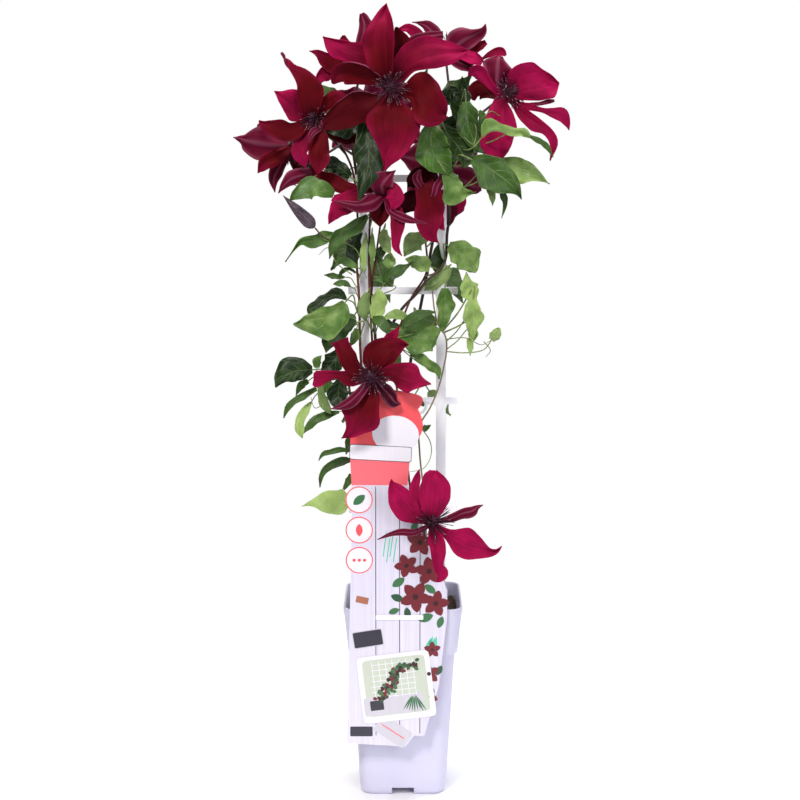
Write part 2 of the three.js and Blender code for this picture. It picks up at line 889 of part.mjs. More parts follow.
        course: [
          [-5, -24, 420, 4, 4], [6, -24, 417, 13, 13], [18, -23, 415, 14, 15], [27, -22, 414, 11, 11],
          [30, -22, 413, 8, 8],
        ],
      },
      {
        course: [
          [8, -24, 400, 1, 1], [15, -24, 396, 5, 3], [24, -24, 391, 4, 5], [31, -24, 386, 3, 4],
          [32, -24, 378, 0, 0],
        ],
      },
      { course: [[59, -7, 413, 2, 2], [60, -7, 406, 3, 3], [60, -8, 397, 0, 0]] },
      { back: true, course: [[79, -6, 411, 3, 3], [83, -6, 416, 5, 5], [86, -6, 422, 1, 1]] },
      { course: [[15, -10, 333, 1, 1], [20, -10, 332, 3, 3], [25, -10, 335, 0, 0]] },
    ],
  },
  low_left: {
    hole: [-26, -16],
    thick: 1.2,
    route: [
      [-34, -16, 240],
      [-40, -14, 295],
      [-45, -16, 340],
      [-48, -18, 372],
      [-53, -20, 402],
    ],
    blooms: [["i", 366]],
    leaves: [
      {
        course: [
          [-80, -28, 387, 3, 3], [-87, -30, 387, 8, 9], [-96, -32, 386, 10, 14], [-105, -33, 381, 5, 10],
          [-112, -34, 372, 0, 0],
        ],
      },
      {
        course: [
          [-55, -23, 404, 3, 3], [-60, -26, 396, 8, 8], [-66, -27, 389, 8, 7], [-73, -28, 384, 0, 0],
        ],
      },
      {
        course: [
          [-77, -18, 369, 2, 2], [-86, -20, 365, 4, 2], [-97, -21, 359, 4, 2], [-103, -22, 352, 3, 2],
          [-106, -22, 343, 0, 0],
        ],
      },
      {
        course: [
          [-82, -14, 356, 1, 1], [-88, -15, 349, 5, 3], [-92, -16, 340, 4, 4], [-92, -16, 331, 4, 4],
          [-90, -16, 324, 0, 0],
        ],
      },
      {
        course: [
          [-57, -12, 347, 1, 1], [-67, -12, 345, 4, 3], [-78, -13, 340, 4, 4], [-86, -14, 333, 3, 2],
          [-89, -14, 328, 0, 0],
        ],
      },
      {
        back: true,
        course: [
          [-73, -24, 373, 2, 2], [-72, -24, 362, 4, 4], [-68, -24, 353, 4, 4], [-64, -24, 347, 0, 0],
        ],
      },
      {
        course: [
          [-54, -34, 379, 4, 3], [-57, -35, 369, 9, 9], [-55, -36, 361, 8, 9], [-48, -36, 356, 1, 1],
        ],
      },
      { course: [[-43, -13, 327, 3, 3], [-47, -14, 320, 5, 5], [-51, -15, 309, 0, 0]] },
    ],
  },
  low: {
    hole: [-12, -24],
    thick: 1.2,
    route: [
      [-19, -24, 214],
      [-15, -28, 251],
      [-26, -26, 287],
      [-37, -24, 318],
    ],
    blooms: [["j", 240, [24, -46, 258]]],
    leaves: [
      {
        course: [
          [-47, -20, 313, 1, 1], [-56, -22, 315, 3, 2], [-65, -23, 313, 3, 2], [-71, -24, 311, 2, 2],
          [-75, -24, 305, 0, 0],
        ],
      },
      {
        course: [
          [-45, -20, 304, 1, 1], [-52, -21, 305, 4, 3], [-61, -23, 302, 4, 4], [-69, -24, 297, 3, 3],
          [-73, -25, 290, 2, 2], [-74, -26, 281, 0, 0],
        ],
      },
      {
        course: [
          [-48, -20, 268, 4, 4], [-55, -22, 268, 11, 10], [-66, -23, 269, 13, 9], [-77, -25, 268, 7, 4],
          [-84, -26, 266, 2, 2], [-90, -26, 264, 0, 0],
        ],
      },
    ],
  },
  back_left: {
    hole: [-15, 22],
    thick: 1.6,
    route: [
      [-20, 22, 300],
      [-28, 22, 450],
      [-42, 22, 560],
      [-50, 18, 612],
    ],
    blooms: [["d", 608], ["f", 575, [-78, 4, 596]], ["l", 575]],
    leaves: [
      [-40, 36, 500, -66, 44, 470, 24, 200, 4],
      [-24, 40, 480, -12, 48, 440, 26, 180, 4],
      [-50, 34, 560, -84, 42, 540, 26, 210, 4],
      [-44, 34, 430, -70, 40, 400, 20, 200, 3],
      [-36, 34, 360, -56, 38, 330, 16, 200, 3],
      [-56, 30, 612, -84, 40, 640, 24, 210, 3],
      [-14, 36, 400, -2, 42, 366, 18, 180, 3],
    ],
  },
  back_right: {
    hole: [5, 22],
    thick: 1.6,
    route: [
      [3, 22, 300],
      [6, 22, 380],
      [20, 22, 460],
      [32, 22, 530],
      [38, 22, 600],
    ],
    blooms: [["m", 515]],
    leaves: [
      [30, 38, 470, 56, 46, 440, 24, 160, 4],
      [14, 40, 430, 34, 48, 396, 22, 170, 4],
      [46, 34, 590, 80, 42, 572, 26, 150, 4],
      [40, 34, 620, 62, 42, 646, 24, 150, 3],
      [10, 40, 620, 22, 60, 652, 24, 170, 3],
      [24, 34, 360, 44, 40, 336, 16, 160, 3],
    ],
  },
};

// profile: place along the bud, share of its radius. groove: radius between its ribs.
// stalkAt: height at which its stalk leaves the vine.
const BUD = {
  base: [-77, -30, 512],
  tip: [-104, -34, 540],
  radius: 6,
  profile: [[0, 0.35], [0.08, 0.8], [0.28, 1], [0.6, 0.7], [0.85, 0.36], [1, 0.08]],
  groove: 0.84,
  vine: "left",
  stalkAt: 500,
};

// ---- small tools ----
const vec = (list) => new THREE.Vector3(...list);
const degrees = THREE.MathUtils.degToRad;

// A closed geometry as a solid, its shared corners merged.
function solid(geometry) {
  const bare = geometry.index ? geometry.toNonIndexed() : geometry.clone();
  bare.deleteAttribute("normal");
  bare.deleteAttribute("uv");
  const merged = mergeVertices(bare, 1e-4);
  return new wasm.Manifold(
    new wasm.Mesh({
      numProp: 3,
      vertProperties: merged.attributes.position.array,
      triVerts: new Uint32Array(merged.index.array),
    }),
  );
}

const fuse = (parts) => parts.reduce((whole, part) => whole.add(part));

// The largest piece of a solid, without loose scraps or sealed hollows.
function oneBody(shape) {
  const pieces = shape.decompose();
  const size = (piece) => Math.abs(piece.volume());
  return pieces.reduce((best, piece) => (size(piece) > size(best) ? piece : best));
}

function geometryOf(shape) {
  const { vertProperties, triVerts } = oneBody(shape.simplify(FINEST)).getMesh();
  const geometry = new THREE.BufferGeometry();
  geometry.setAttribute("position", new THREE.BufferAttribute(vertProperties, 3));
  geometry.setIndex(new THREE.BufferAttribute(triVerts, 1));
  const flat = geometry.toNonIndexed();
  flat.computeVertexNormals();
  return flat;
}

// A closed body through rings of points, each ring convex and turning left about the way it travels.
function skin(rings) {
  const corners = [];
  const add = (...points) => points.forEach((p) => corners.push(p.x, p.y, p.z));
  const count = rings[0].length;
  for (let i = 0; i + 1 < rings.length; i++) {
    for (let k = 0; k < count; k++) {
      const next = (k + 1) % count;
      add(rings[i][k], rings[i][next], rings[i + 1][next]);
      add(rings[i][k], rings[i + 1][next], rings[i + 1][k]);
    }
  }
  const first = rings[0];
  const last = rings[rings.length - 1];
  for (let k = 1; k + 1 < count; k++) {
    add(first[0], first[k + 1], first[k]);
    add(last[0], last[k], last[k + 1]);
  }
  const geometry = new THREE.BufferGeometry();
  geometry.setAttribute("position", new THREE.Float32BufferAttribute(corners, 3));
  return solid(geometry);
}

function box(wide, deep, high, x, y, z) {
  return solid(new THREE.BoxGeometry(wide, deep, high).translate(x, y, z));
}

function tube(points, radius, sides, steps) {
  const section = new THREE.Shape();
  for (let k = 0; k < sides; k++) {
    const angle = (2 * Math.PI * k) / sides;
    const corner = [radius * Math.cos(angle), radius * Math.sin(angle)];
    if (k === 0) section.moveTo(...corner);
    else section.lineTo(...corner);
  }
  const extrudePath = new THREE.CatmullRomCurve3(points);
  return solid(new THREE.ExtrudeGeometry(section, { steps, bevelEnabled: false, extrudePath }));
}

// Half width along a blade, as a share: claw at the root, widest at peak, blunter at the tip as power grows.
function outline(t, { claw, peak, power }) {
  const opening = claw + (1 - claw) * Math.sin((Math.PI / 2) * Math.min(1, t / peak));
  const closing = 1 - Math.max(0, (t - peak) / (1 - peak)) ** power;
  return Math.max(0.03, opening * closing);
}

// Rows of numbers, blended smoothly on the way from the first to the last.
function between(rows, t) {
  const place = t * (rows.length - 1);
  const k = Math.min(Math.floor(place), rows.length - 2);
  const f = place - k;
  const rowAt = (j) => rows[THREE.MathUtils.clamp(j, 0, rows.length - 1)];
  return rows[k].map((value, i) => {
    const [before, next, after] = [rowAt(k - 1)[i], rowAt(k + 1)[i], rowAt(k + 2)[i]];
    const bend = 2 * before - 5 * value + 4 * next - after;
    const twist = 3 * value - before - 3 * next + after;
    return value + ((next - before) * f + bend * f ** 2 + twist * f ** 3) / 2;
  });
}

// Which way a midrib runs at t.
function alongAt(rib, t) {
  return rib(Math.min(t + 0.02, 1)).sub(rib(Math.max(t - 0.02, 0))).normalize();
}

// How a blade grows: its midrib, the way to its right, and its half width left (s < 0) and right of the
// midrib. On a course:
function winding(rows, face) {
  const rib = (t) => vec(between(rows, t).slice(0, 3));
  const side = (t) => alongAt(rib, t).cross(face).normalize();
  const half = (t, s) => Math.max(COURSE.leastHalf, between(rows, t)[s < 0 ? 3 : 4]);
  return { rib, side, half };
}

// Straight from base to tip, bowed towards its face and rolled about its midrib:
function straight({ base, tip, face, roll, width, bow, kind }) {
  const axis = tip.clone().sub(base);
  const long = axis.length();
  axis.normalize();
  const up = face.clone().addScaledVector(axis, -face.dot(axis)).normalize();
  const level = axis.clone().cross(up);
  const rise = (t) => bow * Math.sin(Math.PI * t) ** 1.5;
  const rib = (t) => base.clone().addScaledVector(axis, long * t).addScaledVector(up, rise(t));
  const side = (t) => level.clone().applyAxisAngle(axis, degrees(roll) * Math.min(1, 2.5 * t));
  const half = (t) => (width / 2) * outline(t, kind);
  return { rib, side, half };
}

// A thin leaf or tepal, folded up a little along its midrib, with waved edges.
function blade({ rib, side, half }, kind, turnOfWave) {
  const { rows, fold, wave, thick, heel } = kind;
  const beats = kind.beats[turnOfWave % kind.beats.length];
  const normal = (t) => side(t).cross(alongAt(rib, t)).normalize();
  const place = (t, s) => {
    const outwards = s ? half(t, s) : 0;
    const ripple = wave * Math.min(1, 2 * t) * Math.sin(2 * Math.PI * beats * t + (s > 0 ? 1.7 : 0));
    const height = outwards * (fold + ripple);
    return rib(t).addScaledVector(side(t), s * outwards).addScaledVector(normal(t), height);
  };
  const grid = rows.map((t) => [-1, 0, 1].map((s) => place(t, s)));
  const shift = rows.map((t) => normal(t).multiplyScalar((t === 0 ? heel : thick) / 2));
  const top = grid.map((row, i) => row.map((p) => p.clone().add(shift[i])));
  const low = grid.map((row, i) => row.map((p) => p.clone().sub(shift[i])));
  const tipShift = normal(1).multiplyScalar(thick / 2);
  const topTip = rib(1).add(tipShift);
  const lowTip = rib(1).sub(tipShift);

  const corners = [];
  const add = (...points) => points.forEach((p) => corners.push(p.x, p.y, p.z));
  const quad = (a, b, c, d) => {
    add(a, b, c);
    add(a, c, d);
  };
  const end = rows.length - 1;
  for (let i = 0; i < end; i++) {
    quad(top[i][1], top[i + 1][1], top[i + 1][0], top[i][0]);
    quad(top[i][1], top[i][2], top[i + 1][2], top[i + 1][1]);
    quad(low[i][1], low[i][0], low[i + 1][0], low[i + 1][1]);
    quad(low[i][1], low[i + 1][1], low[i + 1][2], low[i][2]);
    quad(top[i][0], top[i + 1][0], low[i + 1][0], low[i][0]);
    quad(top[i][2], low[i][2], low[i + 1][2], top[i + 1][2]);
  }
  for (const k of [0, 1]) {
    add(top[end][k], top[end][k + 1], topTip);
    add(low[end][k + 1], low[end][k], lowTip);
    quad(top[0][k + 1], top[0][k], low[0][k], low[0][k + 1]);
  }
  quad(top[end][0], topTip, lowTip, low[end][0]);
  quad(top[end][2], low[end][2], lowTip, topTip);
  const geometry = new THREE.BufferGeometry();
  geometry.setAttribute("position", new THREE.Float32BufferAttribute(corners, 3));
  return solid(geometry);
}

// ---- pot, soil, ladder and label ----
function roundedSquare(width, corner, z) {
  const points = [];
  const flat = width / 2 - corner;
  for (let quarter = 0; quarter < 4; quarter++) {
    for (let k = 0; k < 4; k++) {
      const angle = (Math.PI / 2) * (quarter + k / 3);
      const turn = (Math.PI / 2) * quarter + Math.PI / 4;
      const x = Math.SQRT2 * flat * Math.cos(turn) + corner * Math.cos(angle);
      const y = Math.SQRT2 * flat * Math.sin(turn) + corner * Math.sin(angle);
      points.push(new THREE.Vector3(x, y, z));
    }
  }
  return points;
}

// Width of the pot's body below the collar.
const bodyWidth = (z) => POT.foot + ((POT.waist - POT.foot) * z) / (POT.height - POT.collar);

function pot() {
  const shoulder = POT.height - POT.collar;
  const outside = skin([
    roundedSquare(POT.foot - POT.heel, POT.corner - POT.heel / 2, 0),
    roundedSquare(POT.foot - POT.heel / 4, POT.corner - POT.heel / 8, POT.heel / 3),
    roundedSquare(bodyWidth(POT.heel), POT.corner, POT.heel),
    roundedSquare(POT.waist, POT.corner, shoulder),
    roundedSquare(POT.collarFoot, POT.corner, shoulder + POT.ledge),
    roundedSquare(POT.rim, POT.corner, POT.height - POT.ease),
    roundedSquare(POT.rim - POT.ease, POT.corner - POT.ease / 2, POT.height),
  ]);
  const hollow = skin([
    roundedSquare(bodyWidth(POT.floor) - 2 * POT.wall, POT.corner - POT.wall, POT.floor),
    roundedSquare(POT.waist - 2 * POT.wall, POT.corner - POT.wall, shoulder),
    roundedSquare(POT.collarFoot - 2 * POT.wall, POT.corner - POT.wall, shoulder + POT.wall + POT.ease),
    roundedSquare(POT.rim - 2 * POT.wall, POT.corner - POT.wall, POT.height + POT.ease),
  ]);
  const { wide, high } = POT.channel;
  const across = box(2 * POT.rim, wide, 2 * high, 0, 0, 0);
  const along = box(wide, 2 * POT.rim, 2 * high, 0, 0, 0);
  return outside.subtract(hollow).subtract(across).subtract(along);
}

function soil() {
  const shoulder = POT.height - POT.collar;
  const clear = 2 * (POT.wall + GAP);
  const corner = POT.corner - POT.wall - GAP;
  const slope = (POT.rim - POT.collarFoot) / POT.collar;
  const surface = POT.collarFoot - clear + slope * (SOIL.level - 2 * SOIL.edge - shoulder);
  const rings = [
    roundedSquare(bodyWidth(POT.floor) - clear, corner, POT.floor + GAP),
    roundedSquare(POT.waist - clear, corner, shoulder),
    roundedSquare(POT.collarFoot - clear, corner, shoulder + POT.wall + POT.ease),
    roundedSquare(surface, corner, SOIL.level - SOIL.edge),
  ];
  for (const share of [0.96, 0.66, 0.33]) {
    const ring = roundedSquare(share * surface, share * corner, SOIL.level);
    ring.forEach((p) => {
      p.z += SOIL.bump * (Math.sin(p.x * 0.19 + 1) * Math.cos(p.y * 0.23) - share ** 6);
    });
    rings.push(ring);
  }
  const holes = Object.values(VINES).map(({ hole: [x, y] }) => {
    const drill = new THREE.CylinderGeometry(SOIL.stemHole, SOIL.stemHole, 2 * SOIL.stemDepth + 12, 5);
    return solid(drill.rotateX(Math.PI / 2).translate(x, y, SOIL.level));
  });
  const slot = [LADDER.railWide + 2 * GAP, LADDER.thick + 2 * GAP, SOIL.level];
  for (const x of [-LADDER.railX, LADDER.railX]) {
    holes.push(box(...slot, x, LADDER.y, LADDER.bottom - GAP + SOIL.level / 2));
  }
  return skin(rings).subtract(fuse(holes));
}

function ladder() {
  const { y, thick, railX, railWide, top, bottom, rungLong, rungHigh, rungs, lip } = LADDER;
  const parts = [];
  for (const x of [-railX, railX]) {
    parts.push(box(railWide, thick, top - bottom, x, y, (top + bottom) / 2));
  }
  for (const z of rungs) {
    parts.push(box(rungLong, thick, rungHigh, 0, y, z));
    for (const x of [-railX, railX]) {
      const boss = new THREE.CylinderGeometry(lip, lip, thick, 8);
      parts.push(solid(boss.translate(x, y, z - rungHigh / 2)));
    }
  }
  return fuse(parts);
}

function label() {
  const { y, thick, foot, right, head, left, tongue, strap } = LABEL;
  const outline = new THREE.Shape();
  outline.moveTo(...foot);
  right.forEach((corner) => outline.lineTo(...corner));
  head.forEach((curve) => outline.quadraticCurveTo(...curve));
  left.forEach((corner) => outline.lineTo(...corner));
  const card = new THREE.ExtrudeGeometry(outline, { depth: thick, bevelEnabled: false, curveSegments: 5 });
  // The outline is drawn in x and z, so the card is stood up.
  card.rotateX(Math.PI / 2).translate(0, y + thick / 2, 0);
  const inside = POT.wall + GAP + 1.2 * tongue.thick - POT.rim / 2;
  const crown = POT.height + GAP + tongue.thick / 2;
  const lipMiddle = crown + (tongue.thick - tongue.drop) / 2;
  const bridge = box(tongue.wide, inside - y, tongue.thick, tongue.x, (y + inside) / 2, crown);
  const lip = box(tongue.wide, tongue.thick, tongue.drop, tongue.x, inside, lipMiddle);
  const from = vec([strap.from[0], y, strap.from[1]]);
  const to = vec([strap.to[0], LADDER.y - LADDER.thick / 2 - GAP, strap.to[1]]);
  return fuse([solid(card), bridge, lip, tube([from, vec(strap.by), to], strap.thick, 4, 4)]);
}

// ---- blooms ----
function axesOf({ turn, pitch }) {
  const [t, p] = [degrees(turn), degrees(pitch)];
  const out = new THREE.Vector3(Math.sin(t) * Math.cos(p), -Math.cos(t) * Math.cos(p), Math.sin(p));
  const right = new THREE.Vector3(Math.cos(t), Math.sin(t), 0);
  return { out, right, up: out.clone().cross(right) };
}

// A three.js geometry that stands along +Y, laid along a direction from a point.
function standing(geometry, from, along) {
  const turn = new THREE.Quaternion().setFromUnitVectors(new THREE.Vector3(0, 1, 0), along);
  return solid(geometry.applyQuaternion(turn).translate(from.x, from.y, from.z));
}

// A tepal that follows a course from its bloom's receptacle.
function windingTepal({ course, back }, centre, out, swell, k) {
  const [aside, forwards, rise] = course[0];
  const way = vec([aside, -forwards, rise]).projectOnPlane(out).clampLength(1, COURSE.root);
  way.addScaledVector(out, k % 2 ? -COURSE.layer : COURSE.layer);
  const root = [way.x, -way.y, way.z, COURSE.rootHalf, COURSE.rootHalf];
  const rows = [root, ...course].map(([x, y, z, ...halves]) => [
    centre.x + x,
    centre.y - y,
    centre.z + z,
    ...(back ? halves.reverse() : halves).map((half) => half + swell),
  ]);
  const face = new THREE.Vector3(0, back ? 1 : -1, 0);
  const kind = course.length > 5 ? TEPAL : SMALL_TEPAL;
  const thicker = { thick: kind.thick + 2 * swell, heel: kind.heel + 2 * swell };
  return blade(winding(rows, face), { ...kind, ...thicker }, k);
}

// Tepals round a receptacle, swollen all round by some millimetres.
function tepals(bloom, swell) {
  const { out, right, up } = axesOf(bloom);
  const centre = vec(bloom.at);
  const { radius, back, front } = RECEPTACLE;
  const disc = new THREE.CylinderGeometry(radius, radius - 1, back + front, 6);
  const parts = [standing(disc.translate(0, (front - back) / 2, 0), centre, out)];
  bloom.tepals.forEach((tepal, k) => {
    if (tepal.course) {
      parts.push(windingTepal(tepal, centre, out, swell, k));
      return;
    }
    const [angle, reach, lift, width, bow, roll] = tepal;
    const outward = right
      .clone()
      .multiplyScalar(Math.cos(degrees(angle)))
      .addScaledVector(up, Math.sin(degrees(angle)));
    const layer = k % 2 ? -RECEPTACLE.layer : RECEPTACLE.layer;
    const base = centre.clone().addScaledVector(outward, radius - 2).addScaledVector(out, layer);
    const tip = centre.clone().addScaledVector(outward, reach).addScaledVector(out, lift + layer);
    parts.push(blade(straight({ base, tip, face: out, roll, width, bow, kind: TEPAL }), SMALL_TEPAL, k));
  });
  return fuse(parts);
}

// Stamens round a dome, which is cut free of tepals. A stamen that a tepal would press on is left out.
function stamens(bloom) {
  const { out, right, up } = axesOf(bloom);
  const centre = vec(bloom.at).addScaledVector(out, RECEPTACLE.front + GAP);
  const { dome, count, long, root, leans, rise } = STAMENS;
  const profile = [[0, 0], [1, 0], [0.75, 0.8], [0, 1.2]];
  const points = profile.map(([r, h]) => new THREE.Vector2(r * dome, h * dome));
  const taken = tepals(bloom, 2 * GAP);
  const parts = [standing(new THREE.LatheGeometry(points, 6), centre, out).subtract(taken)];
  for (let k = 0; k < count; k++) {
    const angle = (2 * Math.PI * k) / count;
    const lean = degrees(leans[k % 2]);
    const along = out
      .clone()
      .multiplyScalar(Math.cos(lean))
      .addScaledVector(right, Math.sin(lean) * Math.cos(angle))
      .addScaledVector(up, Math.sin(lean) * Math.sin(angle));
    const cone = new THREE.ConeGeometry(root, long, 3).translate(0, long / 2, 0);
    const rod = standing(cone, centre.clone().addScaledVector(out, rise), along);
    if (rod.intersect(taken).isEmpty()) parts.push(rod);
  }
  return fuse(parts).simplify(GAP);
}

function bud() {
  const from = vec(BUD.base);
  const along = vec(BUD.tip).sub(from);
  const long = along.length();
  along.normalize();
  const side = along.clone().cross(new THREE.Vector3(0, 0, 1)).normalize();
  const other = along.clone().cross(side);
  const rings = BUD.profile.map(([t, share]) => {
    const middle = from.clone().addScaledVector(along, long * t);
    const ring = [];
    for (let k = 0; k < 12; k++) {
      const angle = (2 * Math.PI * k) / 12;
      const radius = BUD.radius * share * (k % 2 ? BUD.groove : 1);
      const point = middle.clone().addScaledVector(side, radius * Math.cos(angle));
      ring.push(point.addScaledVector(other, radius * Math.sin(angle)));
    }
    return ring;
  });
  return skin(rings);
}

// ---- leafy stems ----
function leaf(row, k) {
  if (row.course) {
    const { back } = row;
    const face = vec([0, back ? 1 : -1, Math.tan(degrees(LEAF_CHOICE.tilt))]).normalize();
    const rows = row.course.map(([x, y, z, ...halves]) => [x, y, z, ...(back ? halves.reverse() : halves)]);
    const wide = 2 * Math.max(...row.course.flatMap((at) => at.slice(3)));
    const grown = rows.length > 5 ? LEAF : PLAIN_LEAF;
    return blade(winding(rows, face), wide < LEAF_CHOICE.smallUnder ? SMALL_LEAF : grown, k);
  }
  const [bx, by, bz, tx, ty, tz, width, turn, arch] = row;
  const face = axesOf({ turn, pitch: LEAF_CHOICE.pitch }).out;
  const [base, tip] = [vec([bx, by, bz]), vec([tx, ty, tz])];
  return blade(straight({ base, tip, face, roll: 0, width, bow: arch, kind: LEAF }), PLAIN_LEAF, k);
}

const nearest = (places, off) => places.reduce((best, p) => (off(p) < off(best) ? p : best));

// A stalk that leaves from and runs into to along a direction. It sags a little, unless it passes via.
function stalk(from, to, along, radius, sides, via) {
  const reach = Math.min(VINE.joint, from.distanceTo(to) * 0.4);
  const last = to.clone().addScaledVector(along, -reach);
  const middle = via ? vec(via) : from.clone().lerp(last, 0.5);
  if (!via) middle.z -= VINE.sag * from.distanceTo(last);
  return tube([from, middle, last, to], radius, sides, sides > 3 ? 3 : 2);
}

function leafyStem(name) {
  const { hole, route, thick, leaves, blooms } = VINES[name];
  const root = vec([...hole, SOIL.level - SOIL.stemDepth]);
  const points = [root, vec([...hole, SOIL.level + 6]), ...route.map(vec)];
  const steps = Math.round(VINE.fineness * points.length);
  const parts = [tube(points, thick, VINE.sides, steps)];
  const places = new THREE.CatmullRomCurve3(points).getSpacedPoints(steps).slice(1);
  leaves.forEach((row, k) => {
    parts.push(leaf(row, k));
    const [base, towards] = row.course
      ? [vec(row.course[0].slice(0, 3)), vec(row.course[1].slice(0, 3))]
      : [vec(row.slice(0, 3)), vec(row.slice(3, 6))];
    const along = towards.sub(base).normalize();
    const under = base.clone().add(new THREE.Vector3(0, 0, -VINE.joint));
    const joint = nearest(places, (p) => p.distanceTo(under));
    parts.push(stalk(joint, base.addScaledVector(along, 1), along, VINE.petiole, 3));
  });
  for (const [key, height, via] of blooms) {
    const bloom = BLOOMS[key];
    const { out } = axesOf(bloom);
    const joint = nearest(places, (p) => Math.abs(p.z - height));
    const back = vec(bloom.at).addScaledVector(out, -(RECEPTACLE.back + GAP));
    parts.push(stalk(joint, back, out, VINE.peduncle, 4, via));
  }
  if (name === BUD.vine) {
    const base = vec(BUD.base);
    const along = vec(BUD.tip).sub(base).normalize();
    const joint = nearest(places, (p) => Math.abs(p.z - BUD.stalkAt));
    parts.push(stalk(joint, base.addScaledVector(along, -GAP), along, VINE.petiole, 4));
  }
  return fuse(parts);
}

// ---- the assembly ----
const MATERIALS = {
  pot: { color: 0xeceaf6, roughness: 0.4, metalness: 0 },
  soil: { color: 0x33241c, roughness: 1, metalness: 0 },
  ladder: { color: 0xf2f0fa, roughness: 0.35, metalness: 0 },
  label: { color: 0xf6f3f6, roughness: 0.3, metalness: 0 },
  tepal: { color: 0x8c0f2c, roughness: 0.7, metalness: 0 },
  stamen: { color: 0x3a1430, roughness: 0.7, metalness: 0 },
  bud: { color: 0x6b5566, roughness: 0.7, metalness: 0 },
  leaf: { color: 0x3f6b2b, roughness: 0.55, metalness: 0 },
};

const group = new THREE.Group();

function add(name, shape, finish) {
  const mesh = new THREE.Mesh(geometryOf(shape), new THREE.MeshStandardMaterial(MATERIALS[finish]));
  mesh.name = name;
  group.add(mesh);
}

add("pot", pot(), "pot");
add("soil", soil(), "soil");
add("trellis_ladder", ladder(), "ladder");
add("plant_label", label(), "label");
for (const [key, bloom] of Object.entries(BLOOMS)) {
  add(`bloom_${key}_tepals`, tepals(bloom, 0), "tepal");
  add(`bloom_${key}_stamens`, stamens(bloom), "stamen");
}
add("flower_bud", bud(), "bud");
for (const name of Object.keys(VINES)) {
  add(`leafy_stem_${name}`, leafyStem(name), "leaf");
}

export default group;
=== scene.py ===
# A crimson large-flowered clematis in a tall white pot, on a narrow white ladder with a plain picture card.
# Sizes and places are in mm, with +Z up and the viewer at -Y. finishPiece turns them to metres.
import math
import random

import bmesh
import bpy
from mathutils import Matrix, Quaternion, Vector, noise


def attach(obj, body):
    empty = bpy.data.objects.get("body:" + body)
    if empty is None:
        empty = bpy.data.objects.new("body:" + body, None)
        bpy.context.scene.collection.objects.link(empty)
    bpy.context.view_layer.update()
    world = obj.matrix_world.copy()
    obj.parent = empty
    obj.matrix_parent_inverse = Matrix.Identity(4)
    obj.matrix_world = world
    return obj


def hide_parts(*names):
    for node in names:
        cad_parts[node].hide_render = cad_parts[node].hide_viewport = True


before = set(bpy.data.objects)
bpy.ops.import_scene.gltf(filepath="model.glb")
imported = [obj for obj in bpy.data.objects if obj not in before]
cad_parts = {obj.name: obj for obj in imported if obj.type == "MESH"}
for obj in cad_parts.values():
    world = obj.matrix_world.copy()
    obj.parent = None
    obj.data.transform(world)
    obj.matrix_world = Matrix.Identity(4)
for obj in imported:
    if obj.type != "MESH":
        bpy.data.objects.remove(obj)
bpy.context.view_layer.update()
print("frame loaded")

toMetres = Matrix.Scale(0.001, 4)
gap = 0.3  # between pieces that touch


def colour(code):  # sRGB hex to linear
    parts = [int(code[i:i + 2], 16) / 255 for i in (1, 3, 5)]
    return [c / 12.92 if c <= 0.04045 else ((c + 0.055) / 1.055) ** 2.4 for c in parts] + [1.0]


def setNode(node, settings=(), links=()):  # a link from a node means its first output
    for key, value in dict(settings).items():
        if key == "stops":
            for place, shade in value[2:]:
                node.color_ramp.elements.new(place)
            for element, (place, shade) in zip(node.color_ramp.elements, sorted(value)):
                element.position, element.color = place, shade
        elif isinstance(key, int) or key in node.inputs:
            node.inputs[key].default_value = value
        else:
            setattr(node, key, value)
    for key, source in dict(links).items():
        socket = source.outputs[0] if isinstance(source, bpy.types.Node) else source
        node.id_data.links.new(socket, node.inputs[key])
    return node


def addNode(tree, kind, settings=(), links=()):
    return setNode(tree.nodes.new("ShaderNode" + kind), settings, links)


def newMaterial(name):
    material = bpy.data.materials.new(name)
    material.use_nodes = True
    tree = material.node_tree
    tree.nodes.clear()
    shader = addNode(tree, "BsdfPrincipled")
    addNode(tree, "OutputMaterial", links={"Surface": shader})
    return material, tree, shader


def finishPiece(name, bm, materials, replaced=(), thick=0.0, sharp=35, recalc=False):
    if recalc:
        bmesh.ops.remove_doubles(bm, verts=bm.verts, dist=0.001)
        bmesh.ops.recalc_face_normals(bm, faces=bm.faces)
    bm.transform(toMetres)
    mesh = bpy.data.meshes.new(name)
    bm.to_mesh(mesh)
    bm.free()
    mesh.shade_smooth()
    mesh.set_sharp_from_angle(angle=math.radians(sharp))
    piece = bpy.data.objects.new(name, mesh)
    bpy.context.scene.collection.objects.link(piece)
    for material in materials:
        mesh.materials.append(material)
    if thick:
        shell = piece.modifiers.new("thickness", "SOLIDIFY")
        shell.thickness = thick / 1000
        shell.offset = 0
        shell.material_offset = 1  # the underside has a finish of its own
        shell.material_offset_rim = 0
    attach(piece, "root")
    if replaced:
        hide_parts(*replaced)
    return piece


# Where a point lies on a blade: its map, its way from base (0) to tip (1), how far it is from the midrib
# (0.5 at the edge) and the tint of its blade.
def bladePlaces(tree):
    uv = addNode(tree, "UVMap", {"uv_map": "UVMap"})
    part = addNode(tree, "SeparateXYZ", links={0: uv})
    across = addNode(tree, "Math", {"operation": "SUBTRACT", 1: 0.5}, {0: part})
    off = addNode(tree, "Math", {"operation": "ABSOLUTE"}, {0: across})
    tint = addNode(tree, "Attribute", {"attribute_name": "tint"})
    return uv, part.outputs[1], off, tint.outputs["Fac"]


